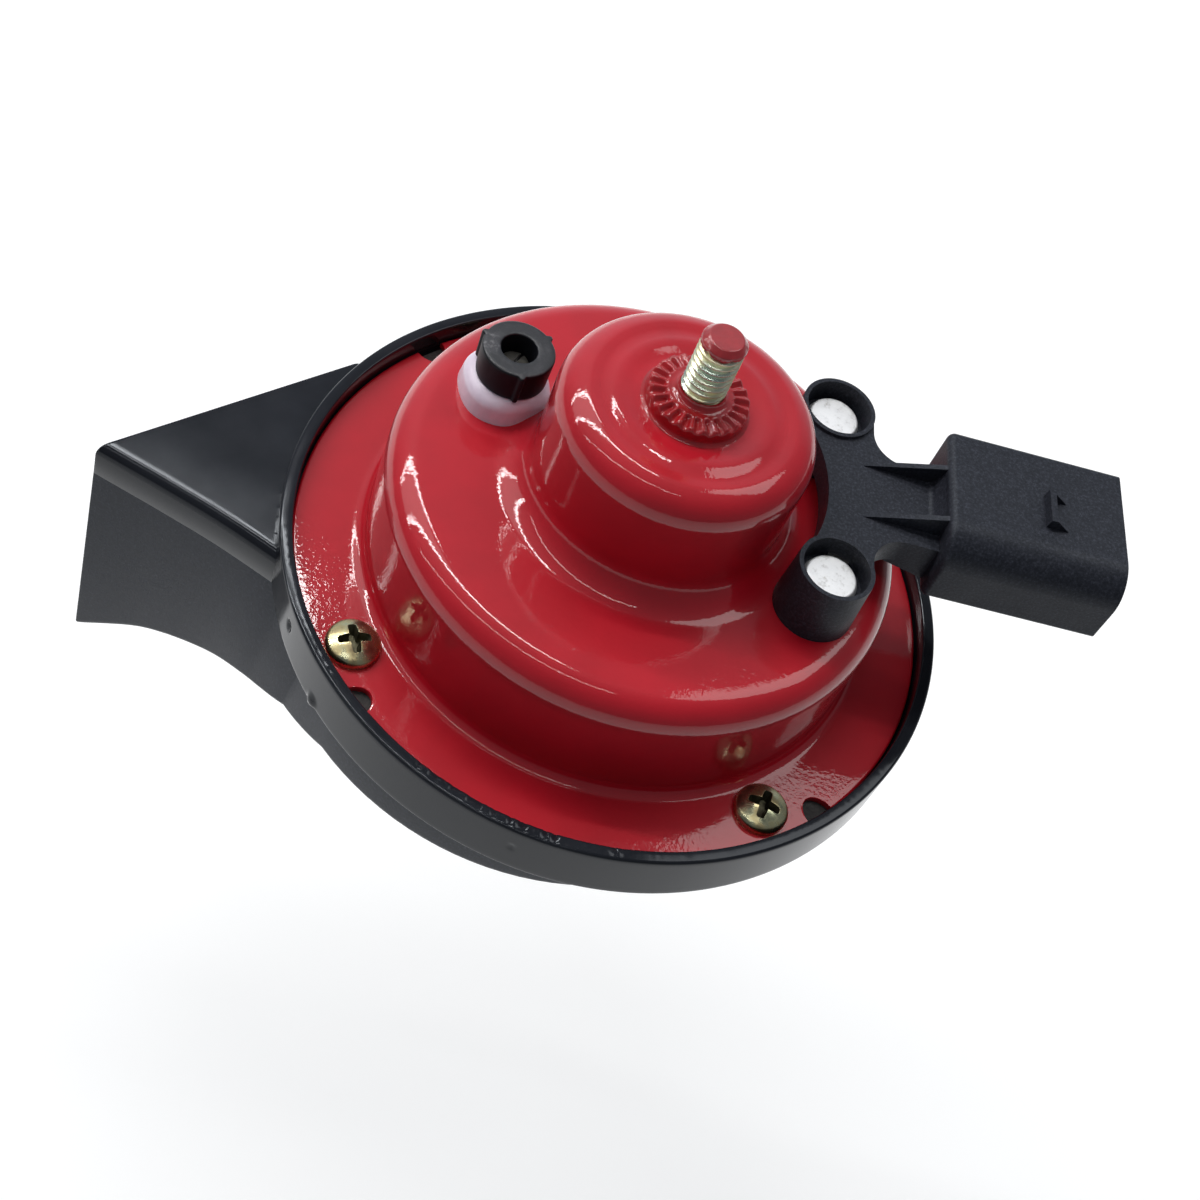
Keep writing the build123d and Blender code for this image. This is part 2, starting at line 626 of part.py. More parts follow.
def make_connector(terminals):
    """Moulded connector: two riveted bosses, plate with two gusset ribs, and the socket."""
    body = Pos(0, 0, PLATE_BACK) * extrude(plate_outline(), PLATE_T)
    for x, y in BOSS_SPOTS:
        tower = turned([(0, TIER2_TOP), (BOSS_FOOT_R, TIER2_TOP), (BOSS_R, BOSS_TOP), (0, BOSS_TOP)])
        body += Pos(x, y, 0) * tower
    end_x = SOCKET_BACK_X + SOCKET_LENGTH
    shell = Pos(SOCKET_BACK_X, 0, 0) * extrude(socket_outline(0), SOCKET_LENGTH)
    rear_edges = shell.faces().sort_by(Axis.X)[0].edges()
    shell = fillet(rear_edges, SOCKET_REAR_R)
    neck_low = NECK_MID_Y - NECK_W / 2
    web = make_face(Polyline(
        (BOSS_X + BOSS_R + 1, PLATE_BACK), (SOCKET_BACK_X + 1, PLATE_BACK),
        (SOCKET_BACK_X + 1, SOCKET_BACK + 1), (SOCKET_BACK_X, SOCKET_BACK + 1), close=True,
    ))
    web = Plane(origin=(0, neck_low + NECK_W, 0), x_dir=(1, 0, 0), z_dir=(0, -1, 0)) * web
    body += extrude(web, NECK_W)
    rib = make_face(Polyline(
        (RIB_START_X, PLATE_TOP - 0.5), (SOCKET_BACK_X + 1, PLATE_TOP - 0.5),
        (SOCKET_BACK_X + 1, SOCKET_TOP - 0.7), (SOCKET_BACK_X, SOCKET_TOP - 0.7),
        (RIB_START_X, PLATE_TOP), close=True,
    ))
    for side in (1, -1):
        middle = RIB_MID_Y + side * RIB_PITCH / 2
        plane = Plane(origin=(0, middle + RIB_T / 2, 0), x_dir=(1, 0, 0), z_dir=(0, -1, 0))
        body += extrude(plane * rib, RIB_T)
    ramp = make_face(Polyline(
        (SOCKET_BACK_X - RAMP_LENGTH, PLATE_TOP - 0.5), (SOCKET_BACK_X + 1, PLATE_TOP - 0.5),
        (SOCKET_BACK_X + 1, SOCKET_TOP - 1.6), (SOCKET_BACK_X, SOCKET_TOP - 1.6),
        (SOCKET_BACK_X - RAMP_LENGTH / 2, PLATE_TOP + RAMP_H), (SOCKET_BACK_X - RAMP_LENGTH, PLATE_TOP),
        close=True,
    ))
    plane = Plane(origin=(0, RIB_MID_Y + RIB_PITCH / 2, 0), x_dir=(1, 0, 0), z_dir=(0, -1, 0))
    body += extrude(plane * ramp, RIB_PITCH)
    body += shell
    cavity_x = end_x - SOCKET_DEPTH
    body -= Pos(cavity_x, 0, 0) * extrude(socket_outline(SOCKET_WALL), SOCKET_DEPTH + 1)
    catch_end = CATCH_X + CATCH_LENGTH
    wall = make_face(Polyline(
        (CATCH_X, SOCKET_TOP - 0.3), (CATCH_X + CATCH_WALL, SOCKET_TOP - 0.3),
        (CATCH_X + CATCH_WALL, SOCKET_TOP + CATCH_H), (CATCH_X + 0.2, SOCKET_TOP + CATCH_H), close=True,
    ))
    cheek = make_face(Polyline(
        (CATCH_X + 0.5, SOCKET_TOP - 0.3), (catch_end, SOCKET_TOP - 0.3), (catch_end, SOCKET_TOP),
        (CATCH_X + CATCH_WALL, SOCKET_TOP + CATCH_H), (CATCH_X + 0.5, SOCKET_TOP + CATCH_H), close=True,
    ))
    plane = Plane(origin=(0, SOCKET_MID_Y + CATCH_W / 2, 0), x_dir=(1, 0, 0), z_dir=(0, -1, 0))
    body += extrude(plane * wall, CATCH_W)
    body += extrude(plane * cheek, CATCH_CHEEK)
    body += Pos(0, CATCH_CHEEK - CATCH_W, 0) * extrude(plane * cheek, CATCH_CHEEK)
    for x, y in BOSS_SPOTS:
        body -= rod(BOSS_BORE_R, BOSS_TOP - BOSS_BORE_DEPTH, BOSS_TOP + 1, x, y)
        body -= rod(RIVET_R + PRESS, TIER2_TOP - 1, BOSS_TOP, x, y)
        body -= rod(SEAL_R + PRESS, TIER2_TOP - 1, TIER2_TOP + SEAL_T, x, y)
    for terminal in terminals:
        body -= terminal
    return body - housing_form()


def make_boss_seals():
    """Rubber rings in the feet of the bosses."""
    rings = [ring(SEAL_R, SEAL_IN_R, TIER2_TOP, TIER2_TOP + SEAL_T, x, y) for x, y in BOSS_SPOTS]
    return Part() + rings


def make_terminal_rivets():
    """Aluminium rivets that fasten the connector and carry the current inside."""
    head = TERMINAL_TOP
    tail = TIER2_CEILING - BUSH_FLANGE_T - TAB_T
    rivets = []
    for x, y in BOSS_SPOTS:
        body = rod(RIVET_R, tail, head, x, y)
        body += rod(RIVET_HEAD_R, head, head + RIVET_HEAD_H, x, y)
        crown = body.faces().sort_by(Axis.Z)[-1].edges()
        body = fillet(crown, 0.4 * RIVET_HEAD_H)
        body += rod(RIVET_TAIL_R, tail - RIVET_TAIL_H, tail, x, y)
        rivets.append(body)
    return Part() + rivets


def make_rivet_bushes():
    """Flanged insulating bushes between the rivets and the steel housing."""
    bushes = []
    for x, y in BOSS_SPOTS:
        bush = rod(BUSH_FLANGE_R, TIER2_CEILING - BUSH_FLANGE_T, TIER2_CEILING, x, y)
        bush += rod(BUSH_NECK_R, TIER2_CEILING, TIER2_TOP, x, y)
        bushes.append(bush - rod(RIVET_R + PRESS, TIER2_CEILING - 2, TIER2_TOP + 1, x, y))
    return Part() + bushes


def make_lead_tab(side):
    """Brass tab under a rivet's tail, for a soldered lead."""
    x, y = BOSS_SPOTS[0] if side > 0 else BOSS_SPOTS[1]
    high = TIER2_CEILING - BUSH_FLANGE_T
    tab = rod(TAB_R, high - TAB_T, high, x, y)
    tab += block(x - TAB_REACH, x, y - 1.5, y + 1.5, high - TAB_T, high)
    return tab - rod(RIVET_R + PRESS, high - 2, high + 1, x, y)


# ---------------------------------------------------------------- adjuster
def make_adjuster_cap():
    """Plastic guard sleeve round the adjusting screw, with upright crush ribs."""
    low = TIER2_TOP + CAP_LIFT
    x, y = ADJUSTER_SPOT
    cap = rod(CAP_R, low, low + CAP_H, x, y)
    cap = chamfer(cap.faces().sort_by(Axis.Z)[-1].edges(), 0.3)
    for i in range(CAP_NIBS):
        dx, dy = polar(CAP_R - 0.1, ADJUSTER_ANGLE + CAP_NIB_TURN + 360 / CAP_NIBS * i)
        cap += rod(CAP_NIB + 0.1, low, low + CAP_H, x + dx, y + dy)
    return cap - rod(CAP_BORE_R, low - 1, low + CAP_H + 1, x, y)


def make_adjuster_sealant():
    """Bead of locking compound poured round the screw under the cap."""
    x, y = ADJUSTER_SPOT
    low = TIER2_TOP
    high = TIER2_TOP + CAP_LIFT
    bead = turned([
        (0, low), (SEALANT_R, low), (SEALANT_R - 0.2, low + 0.7 * CAP_LIFT), (CAP_R - 0.1, high), (0, high),
    ])
    return Pos(x, y, 0) * bead - rod(ADJUSTER_R + PRESS, low - 1, high + 1, x, y) - housing_form()


def make_adjusting_screw():
    """Slotted grub screw, whose dog point sets the fixed contact."""
    x, y = ADJUSTER_SPOT
    top = TIER2_TOP + CAP_LIFT + CAP_H - ADJUSTER_SINK
    step = TIER2_CEILING - 4.0
    screw = rod(ADJUSTER_R, step, top, x, y) + rod(ADJUSTER_TIP_R, FIXED_TOP, step, x, y)
    slot = block(-ADJUSTER_R - 1, ADJUSTER_R + 1, -SLOT_W / 2, SLOT_W / 2, top - 1.0, top + 1)
    return screw - Pos(x, y, 0) * Rot(0, 0, 45) * slot


# ---------------------------------------------------------------- electromagnet
def make_coil_bobbin():
    """Moulded spool that slips over the core."""
    tube_r = CORE_R + 0.15 + BOBBIN_WALL
    upper = TIER3_CEILING - BOBBIN_TOP_DROP
    spool = rod(tube_r, TIER2_CEILING, TIER3_CEILING)
    spool += rod(BOBBIN_R, upper - BOBBIN_FLANGE_T, upper)
    spool += rod(BOBBIN_R, TIER2_CEILING, TIER2_CEILING + BOBBIN_FLANGE_T)
    return spool - rod(CORE_R + 0.15, TIER2_CEILING - 1, TIER3_CEILING + 1)


def make_coil_winding():
    """Enamelled copper winding, as one wound body."""
    tube_r = CORE_R + 0.15 + BOBBIN_WALL
    upper = TIER3_CEILING - BOBBIN_TOP_DROP - BOBBIN_FLANGE_T
    return ring(WINDING_R, tube_r, TIER2_CEILING + BOBBIN_FLANGE_T, upper)


def make_magnet_yoke():
    """Steel plate spot-welded under the second tier: it holds the coil up and closes the circuit."""
    plate = ring(YOKE_R, YOKE_BORE_R, TIER2_CEILING - YOKE_T, TIER2_CEILING)
    for x, y in BOSS_SPOTS:
        plate -= rod(BUSH_FLANGE_R + 0.6, TIER2_CEILING - 2, TIER2_CEILING + 1, x, y)
    return plate - rod(ADJUSTER_R + 1.0, TIER2_CEILING - 2, TIER2_CEILING + 1, *ADJUSTER_SPOT)


def make_armature():
    """Steel plunger with a striker flange, a neck through the diaphragm and a riveted head."""
    seat = DIAPHRAGM_TOP + WASHER_T
    back = DIAPHRAGM_BACK - WASHER_T
    return turned([
        (0, ARMATURE_TOP), (ARMATURE_R, ARMATURE_TOP), (ARMATURE_R, STRIKER_TOP), (STRIKER_R, STRIKER_TOP),
        (STRIKER_R, STRIKER_TOP - STRIKER_T), (ARMATURE_R, STRIKER_TOP - STRIKER_T), (ARMATURE_R, seat),
        (ARMATURE_NECK_R, seat), (ARMATURE_NECK_R, back), (ARMATURE_HEAD_R, back),
        (ARMATURE_HEAD_R, back - ARMATURE_HEAD_H), (0, back - ARMATURE_HEAD_H),
    ])


def make_diaphragm_washer(radius, low):
    """Steel washer that spreads the armature's grip on the diaphragm."""
    return ring(radius, ARMATURE_NECK_R + SLIP, low, low + WASHER_T)


# ---------------------------------------------------------------- contact breaker
def stack_rivet_spots():
    """Two rivets through the breaker's stack."""
    x = STACK_X + STACK_W / 2
    return [(x, STACK_Y + 0.24 * STACK_LENGTH), (x, STACK_Y + 0.76 * STACK_LENGTH)]


def leaf_rivet_spots():
    """Two rivets that hold the arm under the leaf spring."""
    y = (LEAF_FRONT_Y + ARM_BACK_Y) / 2
    return [(STACK_X + 0.9 + LEAF_W * share, y) for share in (0.25, 0.75)]


def stack_plate(low, high, hole):
    """Plate of the stack, with its two rivet holes."""
    plate = block(STACK_X, STACK_X + STACK_W, STACK_Y, STACK_Y + STACK_LENGTH, low, high)
    for x, y in stack_rivet_spots():
        plate -= rod(hole, low - 1, high + 1, x, y)
    return plate


def make_breaker():
    """Every piece of the contact breaker, in its own layout plane."""
    pieces = {}
    rivet_hole = BREAKER_RIVET_R + PRESS
    bush_hole = BREAKER_BUSH_R + PRESS
    arm_back = ARM_BACK_Y

    foot_y = STACK_Y - 1.0
    bracket = stack_plate(BRACKET_BACK, BRACKET_BACK + BRACKET_T, rivet_hole)
    bracket += block(STACK_X, STACK_X + STACK_W, foot_y, foot_y + BRACKET_T, BRACKET_BACK, TIER2_CEILING)
    bracket += block(STACK_X + 2.5, STACK_X + STACK_W, foot_y - 3.0, foot_y + BRACKET_T,
                     TIER2_CEILING - BRACKET_T, TIER2_CEILING)
    pieces["breaker_bracket"] = bracket - rod(YOKE_R + 0.3, TIER2_CEILING - YOKE_T - 0.4, TIER2_CEILING + 1)

    pieces["breaker_insulator_upper"] = stack_plate(LEAF_TOP, BRACKET_BACK, rivet_hole)
    middle = stack_plate(FIXED_TOP, ARM_TOP, rivet_hole)
    for x, y in stack_rivet_spots():
        middle += ring(BREAKER_BUSH_R, rivet_hole, FIXED_BACK, LEAF_TOP, x, y)
    pieces["breaker_insulator_middle"] = middle
    pieces["breaker_insulator_lower"] = stack_plate(LOWER_INSULATOR_BACK, FIXED_BACK, rivet_hole)
    pieces["breaker_backing_plate"] = stack_plate(BACKING_BACK, LOWER_INSULATOR_BACK, rivet_hole)

    leaf = block(STACK_X + 0.9, STACK_X + 0.9 + LEAF_W, LEAF_FRONT_Y, STACK_Y + STACK_LENGTH, ARM_TOP, LEAF_TOP)
    for x, y in stack_rivet_spots():
        leaf -= rod(bush_hole, ARM_TOP - 1, LEAF_TOP + 1, x, y)
    for x, y in leaf_rivet_spots():
        leaf -= rod(LEAF_RIVET_R + PRESS, ARM_TOP - 1, LEAF_TOP + 1, x, y)
    pieces["breaker_leaf_spring"] = leaf

    arm = block(STRIP_IN_X, STRIP_OUT_X, STRIP_END_Y, arm_back, ARM_BACK, ARM_TOP)
    arm += block(TONGUE_X, STRIP_IN_X, -TONGUE_W / 2, TONGUE_W / 2, ARM_BACK, ARM_TOP)
    arm -= rod(ADJUSTER_TIP_R + 0.7, ARM_BACK - 1, ARM_TOP + 1, ADJUSTER_PCD_R)
    for x, y in leaf_rivet_spots():
        arm -= rod(LEAF_RIVET_R + PRESS, ARM_BACK - 1, ARM_TOP + 1, x, y)
    pieces["breaker_arm"] = arm

    low = ARM_BACK - LEAF_RIVET_HEAD_H
    rivets = []
    for x, y in leaf_rivet_spots():
        rivet = rod(LEAF_RIVET_R, low, LEAF_TOP, x, y)
        rivet += rod(LEAF_RIVET_HEAD_R, low, ARM_BACK, x, y)
        rivets.append(rivet + rod(LEAF_RIVET_HEAD_R, LEAF_TOP, LEAF_TOP + LEAF_RIVET_HEAD_H, x, y))
    pieces["arm_rivets"] = Part() + rivets

    shoe = block(TONGUE_X, TONGUE_X + SHOE_LENGTH, -SHOE_W / 2, SHOE_W / 2, ARM_BACK - SHOE_T, ARM_BACK)
    pieces["striker_shoe"] = shoe

    fixed = block(STRIP_IN_X, STRIP_OUT_X, STRIP_END_Y, arm_back, FIXED_BACK, FIXED_TOP)
    fixed += block(STACK_X, STACK_X + STACK_W, arm_back - 1, STACK_Y + STACK_LENGTH, FIXED_BACK, FIXED_TOP)
    for x, y in stack_rivet_spots():
        fixed -= rod(bush_hole, FIXED_BACK - 1, FIXED_TOP + 1, x, y)
    pieces["fixed_contact_plate"] = fixed

    contact = (CONTACT_X, CONTACT_Y)
    pieces["moving_contact"] = rod(CONTACT_R, ARM_BACK - CONTACT_T, ARM_BACK, *contact)
    pieces["fixed_contact"] = rod(CONTACT_R, FIXED_TOP, FIXED_TOP + CONTACT_T, *contact)

    rivets = []
    for x, y in stack_rivet_spots():
        rivet = rod(BREAKER_RIVET_R, BACKING_BACK, BRACKET_BACK + BRACKET_T, x, y)
        rivet += rod(BREAKER_HEAD_R, BACKING_BACK - BREAKER_HEAD_H, BACKING_BACK, x, y)
        top = BRACKET_BACK + BRACKET_T
        rivets.append(rivet + rod(BREAKER_HEAD_R, top, top + BREAKER_HEAD_H, x, y))
    pieces["breaker_rivets"] = Part() + rivets
    return {name: BREAKER_PLANE * shape for name, shape in pieces.items()}


# ---------------------------------------------------------------- everything, by node name
def build():
    """All the horn's pieces."""
    rear, front = make_trumpet_shells()
    terminals = [make_terminal(side) for side in (1, -1)]
    nodes = {
        "trumpet_rear_shell": rear,
        "trumpet_front_shell": front,
        "steel_housing": make_steel_housing(),
        "pole_stud": make_pole_stud(),
        "serrated_collar": make_serrated_collar(),
        "flange_screws": make_flange_screws(),
        "housing_gasket": make_gasket(FLANGE_BACK),
        "diaphragm": make_diaphragm(),
        "trumpet_gasket": make_gasket(DIAPHRAGM_BACK),
        "connector_housing": make_connector(terminals),
        "terminal_upper": terminals[0],
        "terminal_lower": terminals[1],
        "boss_seals": make_boss_seals(),
        "terminal_rivets": make_terminal_rivets(),
        "rivet_bushes": make_rivet_bushes(),
        "lead_tab_upper": make_lead_tab(1),
        "lead_tab_lower": make_lead_tab(-1),
        "adjuster_cap": make_adjuster_cap(),
        "adjuster_sealant": make_adjuster_sealant(),
        "adjusting_screw": make_adjusting_screw(),
        "coil_bobbin": make_coil_bobbin(),
        "coil_winding": make_coil_winding(),
        "magnet_yoke": make_magnet_yoke(),
        "armature": make_armature(),
        "armature_washer_upper": make_diaphragm_washer(UPPER_WASHER_R, DIAPHRAGM_TOP),
        "armature_washer_lower": make_diaphragm_washer(LOWER_WASHER_R, DIAPHRAGM_BACK - WASHER_T),
    }
    nodes.update(make_breaker())
    return nodes


os.makedirs("parts", exist_ok=True)
for node, shape in build().items():
    shape.label = node
    export_step(shape, f"parts/{node}.step")
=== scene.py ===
"""Looks of the snail car horn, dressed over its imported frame.

Shapes are worked out in millimetres in the row frame (origin on the fixing stud's seat, +Z out
along the stud, +X along the plug) and turned into metres when their mesh is made.
"""
import math

import bmesh
import bpy
import numpy as np
from mathutils import Matrix, Vector


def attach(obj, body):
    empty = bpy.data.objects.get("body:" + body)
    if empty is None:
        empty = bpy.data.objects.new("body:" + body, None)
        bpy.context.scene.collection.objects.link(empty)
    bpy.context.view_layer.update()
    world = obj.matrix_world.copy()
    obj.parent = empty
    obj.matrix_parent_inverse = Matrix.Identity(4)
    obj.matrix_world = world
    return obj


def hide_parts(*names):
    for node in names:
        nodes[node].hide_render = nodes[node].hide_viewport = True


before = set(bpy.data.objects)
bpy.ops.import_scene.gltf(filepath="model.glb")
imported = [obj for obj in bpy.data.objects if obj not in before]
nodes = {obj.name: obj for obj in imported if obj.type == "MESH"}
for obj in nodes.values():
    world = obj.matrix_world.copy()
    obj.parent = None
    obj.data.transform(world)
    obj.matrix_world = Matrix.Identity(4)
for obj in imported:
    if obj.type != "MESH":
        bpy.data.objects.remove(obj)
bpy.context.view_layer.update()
scene = bpy.context.scene

# ---- steel housing
# Stepped cup, deep drawn from 1 mm sheet steel: two tiers and a flat flange with four half-round
# notches in its edge, for locating it. Sprayed with glossy red enamel that keeps an orange peel.
MM = 0.001
TAU = 2 * math.pi
SHEET_T = 1.0
TIER3_R, TIER3_TOP = 17.5, -2.2
TIER2_R, TIER2_TOP = 35.7, -20.6
FLANGE_R, FLANGE_TOP = 45.5, -38.7
# Radii of the shoulders and feet: outside from the top down, inside from the flange up.
OUTSIDE_CORNERS = [4.0, 4.5, 4.0, 1.8]
INSIDE_CORNERS = [2.8, 3.0, 5.5, 3.0]
FLANGE_EDGES = [0.45, 0.3]
HOUSING_OPENING_R = 36.5
SCREW_ANGLE = -145.9
NOTCH_TURN = 10.0
NOTCH_HALF, NOTCH_DEPTH = 2.2, 3.0
NOTCH_FADE_R = 38.5
SKIN_STEP, INSIDE_STEP = 0.85, 4.0
# Rings left in the top by the draw: radius, height, width. They end this far down its shoulder.
TOP_EDGE = 0.6
TOP_RINGS = [(10.2, 0.27, 0.9), (12.1, -0.12, 0.8), (13.7, 0.09, 0.7), (7.6, -0.13, 0.35)]


def rounded_line(points, radii, steps=8):
    """2-D line through points, its inner corners turned into arcs.

    A corner whose legs stand at twice the half angle h gets an arc of radius r that starts
    r / tan(h) along each leg, about the point r / sin(h) along the legs' middle line.
    """
    points = np.asarray(points, float)
    line = [points[:1]]
    for corner, before, after, radius in zip(points[1:-1], points[:-2], points[2:], radii):
        a = (before - corner) / np.linalg.norm(before - corner)
        b = (after - corner) / np.linalg.norm(after - corner)
        half = math.acos(np.clip(a @ b, -1, 1)) / 2
        centre = corner + (a + b) / np.linalg.norm(a + b) * radius / math.sin(half)
        start = corner + a * radius / math.tan(half) - centre
        end = corner + b * radius / math.tan(half) - centre
        turn = math.pi - 2 * half
        share = np.linspace(0, 1, steps + 1 if radius else 1)[:, None]
        arc = np.sin((1 - share) * turn) * start + np.sin(share * turn) * end
        line.append(centre + arc / math.sin(turn))
    return np.vstack(line + [points[-1:]])


def even_line(line, step):
    """The same 2-D line with points added so that none lie further apart than step."""
    pieces = []
    for a, b in zip(line[:-1], line[1:]):
        count = max(1, math.ceil(np.linalg.norm(b - a) / step))
        pieces.append(a + (b - a) * np.arange(count)[:, None] / count)
    return np.vstack(pieces + [line[-1:]])


def full_turn(steps):
    """Evenly spaced angles of one turn, without the repeated last one."""
    return np.arange(steps) * TAU / steps


def spun(profile, angles):
    """Grid of a (radius, level) profile spun about Z: x = r cos t, y = r sin t, z = level."""
    radius, level = np.asarray(profile, float).T
    across = radius[:, None] * np.cos(angles)
    along = radius[:, None] * np.sin(angles)
    return np.stack([across, along, np.broadcast_to(level[:, None], across.shape)], -1)


def push_out(grid, angles, distance):
    """Moves a spun grid's points straight away from the axis by a distance in mm."""
    grid[..., 0] += distance * np.cos(angles)
    grid[..., 1] += distance * np.sin(angles)


def turn_from(angles, spots):
    """Smallest turn, in radians, between each angle and any of the spots."""
    return np.abs((angles[:, None] - np.atleast_1d(spots) + math.pi) % TAU - math.pi).min(1)


def skin_over(name, grid, around=True, along=False, start_cap=False, end_cap=False):
    """Mesh object over a (rows, columns, 3) grid in mm: each four neighbours make a face.

    around joins the last column to the first and along the last row to the first. Repeated points
    are merged, empty faces dropped, and the normals turned outwards.
    """
    rows, columns = grid.shape[:2]
    row = np.arange(rows if along else rows - 1)[:, None]
    column = np.arange(columns if around else columns - 1)[None, :]
    next_row = (row + 1) % rows
    next_column = (column + 1) % columns
    faces = np.stack([
        row * columns + column, row * columns + next_column,
        next_row * columns + next_column, next_row * columns + column,
    ], -1).reshape(-1, 4).tolist()
    if start_cap:
        faces.append(list(range(columns))[::-1])
    if end_cap:
        faces.append(list(range((rows - 1) * columns, rows * columns)))
    mesh = bpy.data.meshes.new(name)
    mesh.from_pydata((grid.reshape(-1, 3) * MM).tolist(), [], faces)
    work = bmesh.new()
    work.from_mesh(mesh)
    bmesh.ops.remove_doubles(work, verts=work.verts, dist=1e-7)
    bmesh.ops.dissolve_degenerate(work, edges=work.edges, dist=1e-8)
    bmesh.ops.recalc_face_normals(work, faces=work.faces)
    work.to_mesh(mesh)
    work.free()
    piece = bpy.data.objects.new(name, mesh)
    scene.collection.objects.link(piece)
    return piece


def dress(piece, finishes, stands_for=None, sharp=32):
    """Gives a piece its finishes, smooth shading and body, and hides the CAD node it stands for.

    Faces keep their place in the list of finishes, which a cut may have set.
    """
    places = np.empty(len(piece.data.polygons), np.int32)
    piece.data.polygons.foreach_get("material_index", places)
    piece.data.materials.clear()
    for finish in finishes:
        piece.data.materials.append(finish)
    piece.data.polygons.foreach_set("material_index", np.minimum(places, len(finishes) - 1))
    piece.data.shade_smooth()
    piece.data.set_sharp_from_angle(angle=math.radians(sharp))
    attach(piece, "horn")
    if stands_for:
        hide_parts(stands_for)
    return piece


def new_finish(name, **values):
    """Material whose Principled shader has these socket values; _ stands for a space."""
    finish = bpy.data.materials.new(name)
    finish.use_nodes = True
    shader = finish.node_tree.nodes["Principled BSDF"]
    for socket, value in values.items():
        shader.inputs[socket.replace("_", " ")].default_value = value
    return finish


def mottle(finish, scale, detail=3.0, rough=0.5, stretch=(1, 1, 1)):
    """Noise between 0 and 1 over the piece; scale is features per metre, stretched along the axes."""
    tree = finish.node_tree
    place = tree.nodes.new("ShaderNodeTexCoord")
    mapping = tree.nodes.new("ShaderNodeMapping")
    mapping.inputs["Scale"].default_value = stretch
    tree.links.new(place.outputs["Object"], mapping.inputs["Vector"])
    node = tree.nodes.new("ShaderNodeTexNoise")
    node.inputs["Scale"].default_value = scale
    node.inputs["Detail"].default_value = detail
    node.inputs["Roughness"].default_value = rough
    tree.links.new(mapping.outputs["Vector"], node.inputs["Vector"])
    return node.outputs["Fac"]


def shades(finish, source, stops):
    """Base colour that runs through (place, colour) stops as the source goes from 0 to 1."""
    tree = finish.node_tree
    node = tree.nodes.new("ShaderNodeValToRGB")
    elements = node.color_ramp.elements
    while len(elements) < len(stops):
        elements.new(0.5)
    for element, (place, colour) in zip(elements, stops):
        element.position = place
        element.color = (*colour, 1)
    tree.links.new(source, node.inputs["Fac"])
    tree.links.new(node.outputs["Color"], tree.nodes["Principled BSDF"].inputs["Base Color"])


def polish(finish, source, low, high, least=0.3, most=0.7):
    """Roughness that goes from low to high as the source goes from least to most."""
    tree = finish.node_tree
    node = tree.nodes.new("ShaderNodeMapRange")
    for socket, value in zip(("From Min", "From Max", "To Min", "To Max"), (least, most, low, high)):
        node.inputs[socket].default_value = value
    tree.links.new(source, node.inputs["Value"])
    tree.links.new(node.outputs["Result"], tree.nodes["Principled BSDF"].inputs["Roughness"])


def relief(finish, source, height, coat=False):
    """Fine relief of the given height in mm, added to what is already there."""
    tree = finish.node_tree
    shader = tree.nodes["Principled BSDF"]
    node = tree.nodes.new("ShaderNodeBump")
    node.inputs["Strength"].default_value = 1.0
    node.inputs["Distance"].default_value = height * MM
    tree.links.new(source, node.inputs["Height"])
    if shader.inputs["Normal"].is_linked:
        tree.links.new(shader.inputs["Normal"].links[0].from_socket, node.inputs["Normal"])
    tree.links.new(node.outputs["Normal"], shader.inputs["Normal"])
    if coat:
        tree.links.new(node.outputs["Normal"], shader.inputs["Coat Normal"])


red_enamel = new_finish("red_enamel", Roughness=0.5, Specular_IOR_Level=0.2, Coat_Weight=1.0,
                        Coat_Roughness=0.03, Coat_IOR=1.45)
shades(red_enamel, mottle(red_enamel, 70, 5, 0.6), [
    (0.3, (0.40, 0.0020, 0.0105)), (0.7, (0.50, 0.003, 0.0145)),
])
relief(red_enamel, mottle(red_enamel, 420, 2, 0.4), 0.011, coat=True)
relief(red_enamel, mottle(red_enamel, 1600, 2), 0.013, coat=True)

flange_back = FLANGE_TOP - SHEET_T
skin_line = even_line(rounded_line(
    [(0, TIER3_TOP), (TIER3_R, TIER3_TOP), (TIER3_R, TIER2_TOP), (TIER2_R, TIER2_TOP), (TIER2_R, FLANGE_TOP),
     (FLANGE_R, FLANGE_TOP), (FLANGE_R, flange_back), (HOUSING_OPENING_R, flange_back)],
    OUTSIDE_CORNERS + FLANGE_EDGES, 14), SKIN_STEP)
tier2_bore, tier2_under = TIER2_R - SHEET_T, TIER2_TOP - SHEET_T
tier3_bore, tier3_under = TIER3_R - SHEET_T, TIER3_TOP - SHEET_T
inner_line = rounded_line(
    [(HOUSING_OPENING_R, flange_back), (tier2_bore, flange_back), (tier2_bore, tier2_under),
     (tier3_bore, tier2_under), (tier3_bore, tier3_under), (0, tier3_under)],
    INSIDE_CORNERS, 5)
profile = np.vstack([skin_line, even_line(inner_line, INSIDE_STEP)[1:]])

# Notch: the flange's points move inwards by depth * sqrt(1 - u * u), where u runs from -1 to 1
# across it, and the move fades out towards the second tier. Extra columns follow the curve.
notch_angles = np.radians(SCREW_ANGLE + NOTCH_TURN + 90.0 * np.arange(4))
notch_reach = NOTCH_HALF / FLANGE_R
across_notch = np.sin(np.linspace(-0.5, 0.5, 41) * math.pi) * notch_reach
angles = np.concatenate([full_turn(320), ((notch_angles[:, None] + across_notch) % TAU).ravel()])
angles = np.unique(np.round(angles, 9))
grid = spun(profile, angles)
off = turn_from(angles, notch_angles) / notch_reach
depth = NOTCH_DEPTH * np.sqrt(np.clip(1 - off ** 2, 0, 1))
share = np.clip((profile[:, 0] - NOTCH_FADE_R) / (FLANGE_R - NOTCH_FADE_R), 0, 1) ** 1.5
push_out(grid, angles, -share[:, None] * depth)

